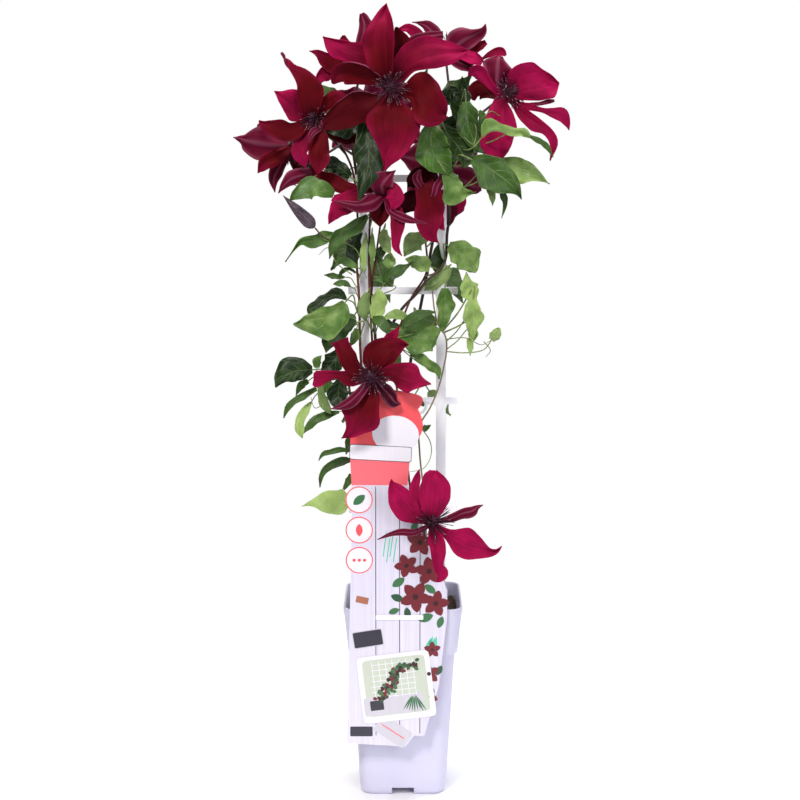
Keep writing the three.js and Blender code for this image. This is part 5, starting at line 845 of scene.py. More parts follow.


# hole: where it leaves the compost. thick: radius. bark: where it isn't the ripened one; the shaded one is
# painted shade. route: its course.
# blooms: (bloom, height at which its stalk leaves the stem, a point the stalk passes). bud: the same height.
# leaves: rows of (x, y, z, left half width, right half width) from base to tip, with one half width where
# both are alike. Then a tint from 0 old to 1 young, and what sets the leaf apart: back makes it show its
# underside, the rest is as in addBlade. A leaf at the back has (base x, y, z, tip x, y, z, width, turn of
# the face, arch) in place of the rows. tendrils: their courses.
stems = {
    "left": {
        "hole": (-18, -9), "thick": 1.2, "bud": 500,
        "route": [(-30, -10, 300), (-38, -7, 400), (-39, -6, 448), (-41, -6, 482), (-40, -6, 516),
                  (-44, -10, 560), (-54, -18, 584)],
        "blooms": [("e", 575, None), ("k", 584, None)],
        "leaves": [
            ([(-60, -44, 541, 3), (-70, -48, 546, 8), (-81, -49, 547, 10, 9), (-91, -50, 541, 5),
              (-97, -50, 536, 0)], 0.45, {}),
            ([(-61, -20, 506, 2), (-69, -22, 503, 6), (-78, -24, 500, 7, 5), (-88, -26, 500, 4, 3),
              (-94, -27, 494, 1), (-103, -28, 482, 0)], 0.45, {"drip": 0.1}),
            ([(-40, -13, 476, 1), (-47, -14, 480, 4), (-54, -15, 482, 3, 4), (-58, -15, 479, 1, 2),
              (-61, -16, 475, 0)], 0.5, {}),
            ([(-52, -5, 467, 1), (-58, -6, 468, 3, 2), (-64, -6, 469, 3, 2), (-70, -7, 469, 0)], 0.25, {}),
            ([(-42, -5, 471, 1), (-48, -5, 474, 1, 2), (-54, -6, 472, 2), (-57, -6, 466, 0)], 0.25, {}),
            ([(-47, -6, 459, 1), (-52, -7, 462, 3), (-58, -8, 462, 3, 2), (-62, -8, 461, 0)], 0.4, {}),
            ([(-50, -14, 448, 1), (-59, -16, 452, 3, 7), (-68, -17, 448, 3, 5), (-75, -18, 444, 4, 5),
              (-81, -19, 440, 4), (-82, -20, 434, 1)], 0.05, {"lobes": 0.2}),
            ([(-51, -24, 446, 3), (-58, -26, 439, 16, 7), (-69, -29, 434, 20, 8), (-83, -32, 431, 14, 5),
              (-90, -33, 429, 6, 2), (-96, -34, 428, 0)], 0.6, {}),
            ([(-41, -18, 428, 2), (-49, -20, 427, 7, 5), (-58, -23, 420, 9, 7), (-65, -25, 411, 6, 7),
              (-68, -26, 402, 0)], 0.25, {}),
            ([(-41, -12, 422, 2), (-43, -13, 414, 4), (-47, -14, 406, 0)], 0.6, {}),
            ([(-38, -10, 508, 3), (-43, -11, 498, 6), (-44, -12, 488, 6), (-42, -12, 477, 1)], -0.6, {}),
            ([(-46, -26, 556, 3), (-54, -27, 563, 8, 6), (-62, -27, 567, 6), (-67, -27, 563, 1)], -0.1, {}),
        ],
        "tendrils": [
            [(-52, -24, 560), (-78, -30, 556), (-92, -32, 548), (-99, -34, 556), (-92, -32, 562)],
            [(-45, -14, 470), (-58, -18, 480), (-66, -20, 494), (-74, -22, 488)],
            [(-53, -20, 500), (-41, -20, 492), (-36, -18, 478), (-32, -14, 466)],
        ],
    },
    "middle": {
        "hole": (-9, -14), "thick": 1.2,
        "route": [(-20, -12, 300), (-28, -9, 420), (-30, -9, 474), (-29, -9, 521), (-26, -18, 562),
                  (-20, -34, 600)],
        "blooms": [("a", 598, None)],
        "leaves": [
            ([(-31, -46, 606, 6), (-30, -50, 590, 11), (-29, -54, 576, 13, 12), (-30, -57, 563, 12, 10),
              (-34, -59, 550, 6, 5), (-38, -60, 534, 0)], -0.1, {}),
            ([(-33, -32, 600, 4), (-44, -34, 600, 10), (-56, -33, 598, 9), (-66, -32, 596, 2)], -0.5, {}),
            ([(-31, -22, 522, 2), (-41, -26, 514, 7, 5), (-52, -30, 506, 6, 7), (-60, -33, 497, 4, 5),
              (-64, -34, 485, 0)], 0.4, {"margin": (0, 60)}),
            ([(-33, -16, 503, 1), (-34, -17, 493, 2, 3), (-35, -18, 482, 3), (-34, -18, 473, 1)], 0.8, {}),
            ([(-27, -16, 506, 1), (-27, -18, 494, 3), (-27, -18, 484, 2), (-28, -18, 476, 0)], 0.6, {}),
            ([(-26, -20, 431, 3), (-22, -21, 441, 7), (-21, -22, 451, 6), (-22, -22, 459, 0)], 0.95, {}),
            ([(-31, -13, 454, 2), (-34, -14, 446, 5), (-35, -15, 437, 6, 5), (-33, -15, 429, 0)], 0.6,
             {"back": 1}),
            ([(-27, -24, 432, 2), (-21, -28, 430, 5, 4), (-16, -31, 425, 5, 4), (-12, -32, 420, 2),
              (-9, -32, 414, 0)], 0.35, {}),
        ],
    },
    "centre": {
        "hole": (-1, -8), "thick": 1.1,
        "route": [(-10, -4, 300), (-24, -3, 410), (-28, -2, 450), (-24, -6, 485), (-19, -14, 520),
                  (-16, -28, 539)],
        "blooms": [("g", 538, None)],
        "leaves": [
            ([(-17, -18, 431, 1), (-9, -18, 434, 5, 3), (-1, -17, 434, 4), (8, -16, 429, 0)], 0.8, {}),
            ([(-15, -16, 430, 2), (-9, -16, 424, 4), (-1, -15, 422, 4), (4, -15, 428, 0)], 0.1, {}),
            ([(-12, -12, 475, 2), (-12, -12, 482, 6), (-11, -12, 489, 1)], 0.7, {}),
            ([(-16, -18, 463, 2), (-11, -19, 470, 6), (-3, -19, 474, 5, 4), (4, -18, 478, 2),
              (9, -18, 482, 0)], 0.2, {"lobes": 0.15}),
            ([(-14, -17, 463, 1), (-20, -17, 466, 3), (-27, -17, 465, 0)], 0.4, {}),
            ([(-17, -14, 496, 2), (-20, -14, 488, 4), (-22, -14, 480, 0)], 0.05, {}),
            ([(-16, -18, 510, 2), (-17, -19, 502, 6, 5), (-14, -20, 494, 4), (-11, -20, 489, 0)], 0.7,
             {"back": 1}),
        ],
    },
    "right": {
        "hole": (9, -15), "thick": 1.5, "bark": shadedBark,
        "route": [(2, -18, 260), (-8, -20, 330), (-18, -13, 402), (-3, -6, 436), (12, -12, 453),
                  (21, -19, 465), (33, -15, 475), (38, -8, 485), (39, -4, 504), (41, -6, 522),
                  (41, -10, 544), (46, -16, 588), (40, -8, 634)],
        "blooms": [("b", 600, None), ("c", 628, None)],
        "leaves": [
            ([(51, -24, 606, 4), (50, -26, 617, 9), (50, -28, 626, 10, 8), (51, -28, 634, 5, 4),
              (51, -28, 642, 0)], 0.1, {}),
            ([(54, -38, 620, 3), (55, -40, 610, 9, 8), (56, -41, 599, 9, 10), (60, -41, 588, 7),
              (65, -40, 577, 0)], 0.25, {"margin": (30, 0)}),
            ([(31, -30, 615, 3), (36, -30, 624, 6, 7), (43, -30, 628, 6, 5), (49, -30, 627, 0)], -0.1, {}),
            ([(34, -30, 603, 4), (40, -31, 600, 8), (46, -31, 599, 7), (51, -31, 599, 2)], -0.8, {}),
            ([(36, -34, 597, 4), (43, -36, 588, 10), (50, -36, 578, 12), (54, -36, 571, 7),
              (52, -36, 564, 1)], 0.15, {}),
            ([(26, -50, 600, 5), (24, -52, 589, 13, 11), (26, -52, 577, 15), (32, -51, 569, 11, 12),
              (41, -50, 560, 1, 2)], 0.45, {"margin": (25, 0)}),
            ([(36, -48, 561, 3), (42, -47, 552, 7, 10), (48, -46, 545, 6, 15), (55, -44, 543, 2, 4),
              (62, -42, 543, 0)], 0.6, {}),
            ([(67, -64, 590, 1), (73, -66, 597, 8, 3), (83, -66, 597, 4, 3), (93, -65, 594, 4),
              (102, -62, 593, 5, 3), (108, -60, 590, 1)], 0.7, {}),
            ([(107, -58, 591, 1), (114, -57, 588, 2, 3), (122, -56, 583, 2, 3), (128, -55, 573, 0)], 0.3,
             {}),
            ([(59, -42, 571, 3), (69, -44, 567, 9, 13), (79, -45, 560, 12, 17), (90, -45, 552, 9, 13),
              (98, -45, 544, 4), (102, -45, 537, 0)], 0.3, {"margin": (20, 0)}),
            ([(85, -30, 570, 3), (96, -31, 566, 7, 10), (107, -32, 562, 7, 13), (118, -32, 556, 4, 5),
              (127, -32, 550, 0)], 0.7, {}),
            ([(73, -28, 550, 2), (77, -28, 541, 4, 3), (78, -28, 531, 0)], 0.7, {}),
            ([(84, -28, 550, 1), (87, -27, 541, 3), (89, -27, 532, 2), (86, -26, 520, 0)], 0.3, {}),
            ([(60, -30, 588, 2), (67, -30, 596, 4), (69, -30, 606, 4), (66, -30, 613, 1)], 0.3, {}),
            ([(41, -14, 477, 3), (36, -14, 470, 6, 5), (29, -14, 463, 6), (23, -14, 459, 4),
              (19, -14, 456, 0)], 0.6, {"back": 1}),
            ([(40, -12, 495, 4), (48, -11, 491, 9, 12), (56, -10, 485, 13, 12), (62, -9, 477, 8),
              (65, -8, 472, 1)], 0.7, {"lobes": 0.18}),
            ([(37, -14, 458, 3), (37, -15, 448, 8), (37, -16, 440, 8), (36, -17, 430, 5, 6),
              (34, -17, 420, 0)], 0.5, {"hinge": (0, 35)}),
        ],
        "tendrils": [
            [(47, -30, 610), (62, -44, 600), (60, -50, 584), (52, -46, 590)],
            [(68, -30, 606), (76, -32, 612), (84, -30, 608)],
        ],
    },
    "diagonal": {
        "hole": (14, 0), "thick": 1.1,
        "route": [(6, -2, 280), (-2, -2, 340), (-7, -3, 402), (6, 2, 445), (21, 4, 471), (20, 0, 500),
                  (19, -12, 522)],
        "blooms": [("h", 520, None)],
        "leaves": [
            ([(22, -12, 502, 3), (14, -13, 501, 8, 7), (7, -13, 496, 8), (1, -12, 486, 0)], 0.6,
             {"back": 1}),
            ([(24, -15, 477, 5, 4), (17, -16, 480, 8, 7), (9, -16, 483, 6, 4), (2, -16, 484, 0)], 0.75, {}),
            ([(33, -3, 470, 3), (30, -3, 480, 6), (30, -4, 490, 3), (32, -5, 497, 0)], 0.1, {}),
        ],
    },
    "thin": {
        "hole": (22, -8), "thick": 0.8, "bark": tanBark,
        "route": [(20, -8, 260), (15, -9, 310), (15, -10, 334), (24, -10, 350), (31, -9, 366),
                  (36, -8, 385), (39, -8, 403), (38, -8, 414), (32, -10, 424), (28, -12, 438),
                  (26, -12, 456)],
        "blooms": [],
        "leaves": [
            ([(62, -13, 447, 3), (59, -12, 456, 9), (57, -12, 463, 5), (56, -12, 472, 0)], 0.9,
             {"lobes": 0.15}),
            ([(62, -14, 449, 3), (61, -15, 440, 8, 7), (62, -15, 430, 9, 8), (62, -15, 421, 4, 5),
              (63, -16, 413, 0)], 0.85, {"lobes": 0.12}),
            ([(60, -14, 424, 3), (62, -14, 417, 5, 4), (62, -14, 410, 0)], 0.85, {}),
            ([(-1, -30, 424, 1), (6, -29, 431, 5), (15, -29, 435, 5, 3), (23, -28, 437, 3, 2),
              (29, -28, 438, 0)], 0.3, {}),
            ([(-5, -24, 420, 4), (6, -24, 417, 13), (18, -23, 415, 14, 15), (27, -22, 414, 11),
              (30, -22, 413, 8)], 0.55, {}),
            ([(8, -24, 400, 1), (15, -24, 396, 5, 3), (24, -24, 391, 4, 5), (31, -24, 386, 3, 4),
              (32, -24, 378, 0)], 0.55, {}),
            ([(59, -7, 413, 2), (60, -7, 406, 3), (60, -8, 397, 0)], 0.85, {}),
            ([(79, -6, 411, 3), (83, -6, 416, 5), (86, -6, 422, 1)], 0.8, {"back": 1}),
            ([(7, -8, 353, 2), (13, -8, 356, 4, 3), (19, -8, 352, 1)], 0.15, {}),
            ([(4, -8, 345, 1), (9, -8, 348, 3), (15, -8, 345, 0)], 0.5, {}),
            ([(15, -10, 333, 1), (20, -10, 332, 3), (25, -10, 335, 0)], 0.4, {}),
        ],
        "tendrils": [
            [(38, -8, 412), (56, -7, 413), (70, -8, 407), (79, -6, 411)],
            [(72, -8, 410), (78, -8, 402), (74, -8, 396)],
            [(15, -10, 334), (24, -20, 322), (24, -40, 310), (17, -50, 302), (6, -52, 300)],
        ],
    },
    "low_left": {
        "hole": (-26, -16), "thick": 1.2,
        "route": [(-34, -16, 240), (-40, -14, 295), (-45, -16, 340), (-48, -18, 372), (-53, -20, 402)],
        "blooms": [("i", 366, None)],
        "leaves": [
            ([(-80, -28, 387, 3), (-87, -30, 387, 8, 9), (-96, -32, 386, 10, 14), (-105, -33, 381, 5, 10),
              (-112, -34, 372, 0)], 0, {}),
            ([(-55, -23, 404, 3), (-60, -26, 396, 8), (-66, -27, 389, 8, 7), (-73, -28, 384, 0)], 0, {}),
            ([(-76, -22, 388, 2), (-76, -22, 394, 4), (-72, -22, 399, 0)], 0.55, {}),
            ([(-84, -20, 376, 2), (-91, -21, 372, 4, 3), (-95, -22, 363, 0)], 0.45, {}),
            ([(-77, -18, 369, 2), (-86, -20, 365, 4, 2), (-97, -21, 359, 4, 2), (-103, -22, 352, 3, 2),
              (-106, -22, 343, 0)], 0.4, {"wave": 0.4}),
            ([(-82, -14, 356, 1), (-88, -15, 349, 5, 3), (-92, -16, 340, 4), (-92, -16, 331, 4),
              (-90, -16, 324, 0)], 1.1, {"wave": 0.4}),
            ([(-57, -12, 347, 1), (-67, -12, 345, 4, 3), (-78, -13, 340, 4), (-86, -14, 333, 3, 2),
              (-89, -14, 328, 0)], 0.45, {"wave": 0.4}),
            ([(-73, -24, 373, 2), (-72, -24, 362, 4), (-68, -24, 353, 4), (-64, -24, 347, 0)], 0.6,
             {"back": 1}),
            ([(-64, -20, 376, 2), (-70, -20, 371, 6, 5), (-75, -20, 366, 1)], 0.5, {}),
            ([(-54, -34, 379, 4, 3), (-57, -35, 369, 9), (-55, -36, 361, 8, 9), (-48, -36, 356, 1)], -0.6,
             {}),
            ([(-43, -13, 327, 3), (-47, -14, 320, 5), (-51, -15, 309, 0)], 0.25, {}),
        ],
        "tendrils": [
            [(-50, -18, 380), (-66, -20, 360), (-78, -22, 352), (-82, -22, 362)],
        ],
    },
    "low": {
        "hole": (-12, -24), "thick": 1.2,
        "route": [(-19, -24, 214), (-15, -28, 251), (-26, -26, 287), (-37, -24, 318)],
        "blooms": [("j", 240, (24, -46, 258))],
        "leaves": [
            ([(-47, -20, 313, 1), (-56, -22, 315, 3, 2), (-65, -23, 313, 3, 2), (-71, -24, 311, 2),
              (-75, -24, 305, 0)], 0.35, {}),
            ([(-45, -20, 304, 1), (-52, -21, 305, 4, 3), (-61, -23, 302, 4), (-69, -24, 297, 3),
              (-73, -25, 290, 2), (-74, -26, 281, 0)], 0.25, {}),
            ([(-48, -20, 268, 4), (-55, -22, 268, 11, 10), (-66, -23, 269, 13, 9), (-77, -25, 268, 7, 4),
              (-84, -26, 266, 2), (-90, -26, 264, 0)], 0.95, {}),
            ([(-46, -20, 292, 2), (-49, -20, 285, 3), (-53, -20, 278, 1)], 0.45, {}),
        ],
    },
    "back_left": {
        "hole": (-15, 22), "thick": 1.6, "bark": shadedBark,
        "route": [(-20, 22, 300), (-28, 22, 450), (-42, 22, 560), (-50, 18, 612)],
        "blooms": [("d", 608, None), ("f", 575, (-78, 4, 596)), ("l", 575, None)],
        "leaves": [
            (-40, 36, 500, -66, 44, 470, 24, 200, 4, 0.3, {}),
            (-24, 40, 480, -12, 48, 440, 26, 180, 4, 0.4, {}),
            (-50, 34, 560, -84, 42, 540, 26, 210, 4, 0.2, {}),
            (-44, 34, 430, -70, 40, 400, 20, 200, 3, 0.45, {}),
            (-36, 34, 360, -56, 38, 330, 16, 200, 3, 0.6, {}),
            (-56, 30, 612, -84, 40, 640, 24, 210, 3, 0.2, {}),
            (-14, 36, 400, -2, 42, 366, 18, 180, 3, 0.5, {}),
        ],
    },
    "back_right": {
        "hole": (5, 22), "thick": 1.6, "bark": shadedBark,
        "route": [(3, 22, 300), (6, 22, 380), (20, 22, 460), (32, 22, 530), (38, 22, 600)],
        "blooms": [("m", 515, None)],
        "leaves": [
            (30, 38, 470, 56, 46, 440, 24, 160, 4, 0.3, {}),
            (14, 40, 430, 34, 48, 396, 22, 170, 4, 0.4, {}),
            (46, 34, 590, 80, 42, 572, 26, 150, 4, 0.2, {}),
            (40, 34, 620, 62, 42, 646, 24, 150, 3, 0.15, {}),
            (10, 40, 620, 22, 60, 652, 24, 170, 3, 0.2, {}),
            (24, 34, 360, 44, 40, 336, 16, 160, 3, 0.6, {}),
        ],
    },
}

# The stalks of leaves (petiole) and blooms (peduncle), with their radii.
stalks = {
    "petiole": 0.75,
    "peduncle": 1.15,
    "tendril": 0.5,
    "sag": 0.06,  # as a share of its length
    "reach": 12,  # how far a stalk runs on in line with what it carries
    "smallUnder": 13,  # width of a leaf with a thinner stalk and fewer cells
    "smallShare": 0.75,
    "soil": 165,  # level of the compost
    "root": 14,  # depth of a stem's foot in the compost
    "collar": 6,  # height up to which it stands upright
}


def throughPoints(points, steps):  # centripetal Catmull-Rom
    ends = [points[0] * 2 - points[1]] + points + [points[-1] * 2 - points[-2]]
    line = []
    for a, b, c, d in zip(ends, ends[1:], ends[2:], ends[3:]):
        ta, tb = 0.0, (b - a).length ** 0.5
        tc = tb + (c - b).length ** 0.5
        td = tc + (d - c).length ** 0.5
        for k in range(steps):
            t = tb + (tc - tb) * k / steps
            ab = a.lerp(b, (t - ta) / (tb - ta))
            bc = b.lerp(c, (t - tb) / (tc - tb))
            cd = c.lerp(d, (t - tc) / (td - tc))
            abc = ab.lerp(bc, (t - ta) / (tc - ta))
            bcd = bc.lerp(cd, (t - tb) / (td - tb))
            line.append(abc.lerp(bcd, (t - tb) / (tc - tb)))
    return line + [points[-1]]


def addStrand(curve, line, radius, taper, finish):
    strand = curve.splines.new("POLY")
    strand.points.add(len(line) - 1)
    strand.material_index = finish
    for k, (point, p) in enumerate(zip(strand.points, line)):
        point.co = (*p, 1)
        point.radius = radius * (1 + (taper - 1) * k / (len(line) - 1))


def stalkLine(start, end, along, via=None):
    reach = min(stalks["reach"], (end - start).length * 0.4)
    last = end - along * reach
    middle = Vector(via) if via else start.lerp(last, 0.5)
    if not via:
        middle.z -= stalks["sag"] * (last - start).length
    return throughPoints([start, middle, last, end], 5)


def courseLeaf(rows, back):  # how to make it, its base, the way it sets out and its width
    rows = [bothHalves(row) for row in rows]
    base, second = Vector(rows[0][:3]), Vector(rows[1][:3])
    width = 2 * max(max(row[3:]) for row in rows)
    if back:
        rows = [(*row[:3], row[4], row[3]) for row in rows]
    face = Vector((0, 1 if back else -1, 0.25)).normalized()
    return {"course": rows, "face": face}, base, (second - base).normalized(), width


def plainLeaf(place):
    base, tip = Vector(place[:3]), Vector(place[3:6])
    width, turn, arch = place[6:]
    spec = {"base": base, "tip": tip, "face": bloomAxes(turn, 25)[0], "width": width, "bow": arch}
    return spec, base, (tip - base).normalized(), width


def addLeaves(bm, curve, line, leaves):
    for k, (*place, tint, extra) in enumerate(leaves):
        made = courseLeaf(place[0], "back" in extra) if len(place) == 1 else plainLeaf(place)
        spec, base, along, width = made
        small = width < stalks["smallUnder"]
        addBlade(bm, smallLeafForm if small else leafForm, {**spec, "tint": tint, **extra}, k)
        joint = min(line[5:], key=lambda p: (p - base - Vector((0, 0, -stalks["reach"]))).length)
        radius = stalks["petiole"] * (stalks["smallShare"] if small else 1)
        addStrand(curve, stalkLine(joint, base + along, along), radius, 0.8, 1)


def atHeight(line, height):
    return min(line, key=lambda p: abs(p.z - height))


def tubesOf(curve):  # the curve's strands as a bmesh
    holder = bpy.data.objects.new("strands", curve)
    bpy.context.scene.collection.objects.link(holder)
    bpy.context.view_layer.update()
    tubes = bpy.data.meshes.new_from_object(holder.evaluated_get(bpy.context.evaluated_depsgraph_get()))
    bpy.data.objects.remove(holder)
    strands = bmesh.new()
    strands.from_mesh(tubes)
    return strands


def buildStem(name, stem):
    x, y = stem["hole"]
    root = Vector((x, y, stalks["soil"] - stalks["root"]))
    collar = Vector((x, y, stalks["soil"] + stalks["collar"]))
    line = throughPoints([root, collar] + [Vector(p) for p in stem["route"]], 8)
    curve = bpy.data.curves.new(name, "CURVE")
    curve.dimensions = "3D"
    curve.bevel_depth, curve.bevel_resolution, curve.use_fill_caps = 1, 2, True
    barks = [stem.get("bark", oldBark), greenBark, flowerStalk]
    for bark in barks:
        curve.materials.append(bark)
    addStrand(curve, line, stem["thick"], 0.8, 0)
    bm = bmesh.new()
    addLeaves(bm, curve, line, stem["leaves"])
    for key, height, via in stem["blooms"]:
        out = bloomAxes(blooms[key]["turn"], blooms[key]["pitch"])[0]
        back = Vector(blooms[key]["at"]) - out * (receptacle["back"] + gap)
        addStrand(curve, stalkLine(atHeight(line, height), back, out, via), stalks["peduncle"], 0.9, 2)
    if "bud" in stem:
        along = budLine.normalized()
        foot = Vector(bud["base"]) - along * gap
        addStrand(curve, stalkLine(atHeight(line, stem["bud"]), foot, along), stalks["petiole"], 1, 2)
    for points in stem.get("tendrils", ()):
        addStrand(curve, throughPoints([Vector(p) for p in points], 8), stalks["tendril"], 0.5, 1)
    node = [f"leafy_stem_{name}"]
    finishPiece(f"stem_{name}_wood", tubesOf(curve), barks, node, sharp=60)
    finishPiece(f"stem_{name}_leaves", bm, [leafFace, leafBack], node, thick=leafForm["thick"],
                sharp=180)


for name, stem in stems.items():
    buildStem(name, stem)
print("leafy stems made:", len(stems))


# rings: width, corner radius and height, up the outside, over the rim and down the inside to the floor.
pot = {
    "facets": 9,  # to a corner
    "channel": (20, 7),  # width and height of the air channels across the foot
    "rings": [
        (69, 9.5, 0), (71.5, 10.4, 0.15), (75, 12, 1.6), (77, 12.8, 4), (78, 13, 7),  # foot
        (85, 13, 66), (92.8, 13, 131.6),  # wall
        (93, 13, 132.7), (94, 13, 133.2), (97.2, 13, 133.4), (98, 13, 134.2),  # step below the collar
        (101.9, 13, 155), (105.7, 13, 173.4),  # collar
        (106, 13, 174.6), (105.8, 12.9, 175.5), (105.2, 12.6, 176), (103.4, 11.7, 176), (102.6, 11.3, 175.6),
        (101.9, 11, 174.6), (98, 11, 155), (94.6, 11, 136.6), (91.2, 11, 134.6), (89, 11, 132),  # inside
        (74.6, 11, 13), (74, 10.6, 11), (72, 9.6, 10),
    ],
}


def squareRing(width, corner, count):  # places round a square with rounded corners
    places = []
    for quarter in range(4):
        for k in range(count):
            around = math.pi / 2 * (quarter + k / (count - 1))
            diagonal = math.pi / 4 * (2 * quarter + 1)
            flat = math.sqrt(2) * (width / 2 - corner)
            places.append((flat * math.cos(diagonal) + corner * math.cos(around),
                           flat * math.sin(diagonal) + corner * math.sin(around)))
    return places


def growRings(bm, rings, facets):
    ring = bmesh.ops.create_circle(bm, segments=4 * facets, radius=1)["verts"]
    edges = list({edge for v in ring for edge in v.link_edges})
    for i, (width, corner, z) in enumerate(rings):
        if i:
            ring, edges = extrudeRing(bm, edges)
        ring.sort(key=lambda v: math.atan2(v.co.y, v.co.x) % (2 * math.pi))
        for v, (x, y) in zip(ring, squareRing(width, corner, facets)):
            v.co = (x, y, z)
        if i in (0, len(rings) - 1):
            bmesh.ops.contextual_create(bm, geom=edges)


def meshObject(name, bm):
    mesh = bpy.data.meshes.new(name)
    bm.to_mesh(mesh)
    bm.free()
    holder = bpy.data.objects.new(name, mesh)
    bpy.context.scene.collection.objects.link(holder)
    return holder


def combined(base, others, operation):  # one bmesh from solids that meet
    holder = meshObject("base", base)
    helpers = [meshObject("helper", other) for other in others]
    for helper in helpers:
        step = holder.modifiers.new("join", "BOOLEAN")
        step.operation, step.object, step.solver = operation, helper, "EXACT"
    bpy.context.view_layer.update()
    result = bmesh.new()
    result.from_mesh(holder.evaluated_get(bpy.context.evaluated_depsgraph_get()).data)
    for thing in [holder] + helpers:
        bpy.data.objects.remove(thing)
    return result


def roundEdges(bm, edges, radius):
    bmesh.ops.bevel(bm, geom=edges, offset=radius, affect="EDGES", segments=2, profile=0.5, material=-1)


def block(size, centre, rounding=0.0):
    bm = bmesh.new()
    bmesh.ops.create_cube(bm, size=1, matrix=Matrix.LocRotScale(Vector(centre), None, Vector(size)))
    if rounding:
        roundEdges(bm, bm.edges[:], rounding)
    return bm


def buildPot():
    bm = bmesh.new()
    growRings(bm, pot["rings"], pot["facets"])
    bmesh.ops.recalc_face_normals(bm, faces=bm.faces)
    wide, high = pot["channel"]
    across = 130  # longer than the pot is wide
    channels = [block((across, wide, 2 * high), (0, 0, 0)), block((wide, across, 2 * high), (0, 0, 0))]
    bm = combined(bm, channels, "DIFFERENCE")
    potPlastic = grainMaterial("pot, injection-moulded polypropylene", "#c8c6dd", "#d0cee4", plasticLook)
    finishPiece("pot_shell", bm, [potPlastic], ["pot"], sharp=32)


buildPot()
print("pot made")


# widths: like the pot's rings, from its floor inside to the compost's upper edge. Sizes are (least, most).
soil = {
    "level": 165,
    "bump": 2.2,
    "edge": 4,  # how far it drops at the wall
    "edgeFrom": 0.94,  # share of the way out from which it drops
    "widths": [(73, 10.4, 10.3), (88.6, 10.7, 132.5), (93.6, 10.7, 136.6), (98.2, 10.7, 161)],
    "insets": (0.97, 0.93, 0.86, 0.78, 0.7, 0.62, 0.54, 0.46, 0.38, 0.3, 0.22, 0.14, 0.07),
    "reach": 46,  # from the middle, of chips and fibres
    "chips": 230,
    "chipSize": ((2, 6), (1.4, 3.4), (0.7, 1.8)),
    "fibres": 90,
    "fibreStep": (1.5, 3.5),
    "fibreRadii": (0.22, 0.18),
}


def soilHeight(x, y):
    share = max(abs(x), abs(y)) / (soil["widths"][-1][0] / 2)
    swell = soil["bump"] * (math.sin(x * 0.19 + 1) * math.cos(y * 0.23) - share ** 6)
    crumbs = 1.3 * noise.noise(Vector((x, y, 0)) * 0.35) + 0.8 * noise.noise(Vector((x, y, 7)) * 0.9)
    drop = soil["edge"] * max(0, share - soil["edgeFrom"]) / (1 - soil["edgeFrom"])
    return soil["level"] + swell + crumbs - drop


def buildCrust():
    bm = bmesh.new()
    growRings(bm, soil["widths"], pot["facets"])
    lid = max(bm.faces, key=lambda face: face.calc_center_median().z)
    wide, _, high = soil["widths"][-1]
    for share in soil["insets"]:
        bmesh.ops.inset_individual(bm, faces=[lid], thickness=0.4)
        scale = share * (wide / 2) / max(abs(v.co.x) for v in lid.verts)
        for v in lid.verts:
            v.co.x *= scale
            v.co.y *= scale
    for v in bm.verts:
        if v.co.z > high - 0.1 and max(abs(v.co.x), abs(v.co.y)) < wide / 2 - 1:  # all but the outer ring
            v.co.z = soilHeight(v.co.x, v.co.y)
    crust = grainMaterial("peat compost, moist crumbs", "#120b08", "#4a3222", compostLook)
    finishPiece("soil_crust", bm, [crust], ["soil"], recalc=True, sharp=50)


def scatterChips(draw, finishes):  # bark chips, partly sunk into the compost
    bm = bmesh.new()
    for k in range(soil["chips"]):
        x, y = draw.uniform(-soil["reach"], soil["reach"]), draw.uniform(-soil["reach"], soil["reach"])
        size = Vector([draw.uniform(least, most) for least, most in soil["chipSize"]])
        spin, tilt = draw.uniform(0, 6.3), draw.uniform(-0.5, 0.5)
        turn = (Matrix.Rotation(spin, 3, "Z") @ Matrix.Rotation(tilt, 3, "X")).to_quaternion()
        place = Matrix.LocRotScale(Vector((x, y, soilHeight(x, y) + 0.4)), turn, size)
        made = bmesh.ops.create_icosphere(bm, subdivisions=1, radius=0.5, matrix=place)
        for v in made["verts"]:
            v.co += Vector([draw.uniform(-0.3, 0.3) for _ in range(3)])
        for face in {face for v in made["verts"] for face in v.link_faces}:
            face.material_index = k % 3 // 2
    finishPiece("soil_bark_chips", bm, finishes, ["soil"], sharp=30)


def scatterFibres(draw, finish):
    bm = bmesh.new()
    limit = soil["reach"]
    for _ in range(soil["fibres"]):
        points = [Vector((draw.uniform(4 - limit, limit - 4), draw.uniform(4 - limit, limit - 4), 0))]
        heading = draw.uniform(0, 6.3)
        for _ in range(3):
            heading += draw.uniform(-0.8, 0.8)
            way = Vector((math.cos(heading), math.sin(heading), 0))
            points.append(points[-1] + way * draw.uniform(*soil["fibreStep"]))
        for p in points:
            p.x, p.y = max(-limit, min(limit, p.x)), max(-limit, min(limit, p.y))
            p.z = soilHeight(p.x, p.y) + draw.uniform(0.2, 1.6)
        for a, b in zip(points, points[1:]):
            if (b - a).length > 0.5:
                addRod(bm, a, b, soil["fibreRadii"], 3, 0)
    finishPiece("soil_fibres", bm, [finish], ["soil"])


buildCrust()
soilDraw = random.Random(11)
barkChip = grainMaterial("composted bark, brown", "#24140c", "#70492c", compostLook)
coarseChip = grainMaterial("composted bark, pale side", "#3c2717", "#96704a", compostLook)
scatterChips(soilDraw, [barkChip, coarseChip])
scatterFibres(soilDraw, coarseChip)
print("compost made")


# rail and rung: size in x, y and z. A disc, the lip, backs each joint of a rung with a rail.
ladder = {
    "y": 10,
    "railX": 34.5,
    "rail": (8.7, 4, 550),
    "middle": 315,  # height of the rails' middle
    "rung": (98, 3.6, 6.3),
    "rungs": (254, 354, 454, 554),
    "lip": 5.5,  # radius
    "lipThick": 3.2,
    "rounding": 0.7,
    "rungRounding": 0.6,
}


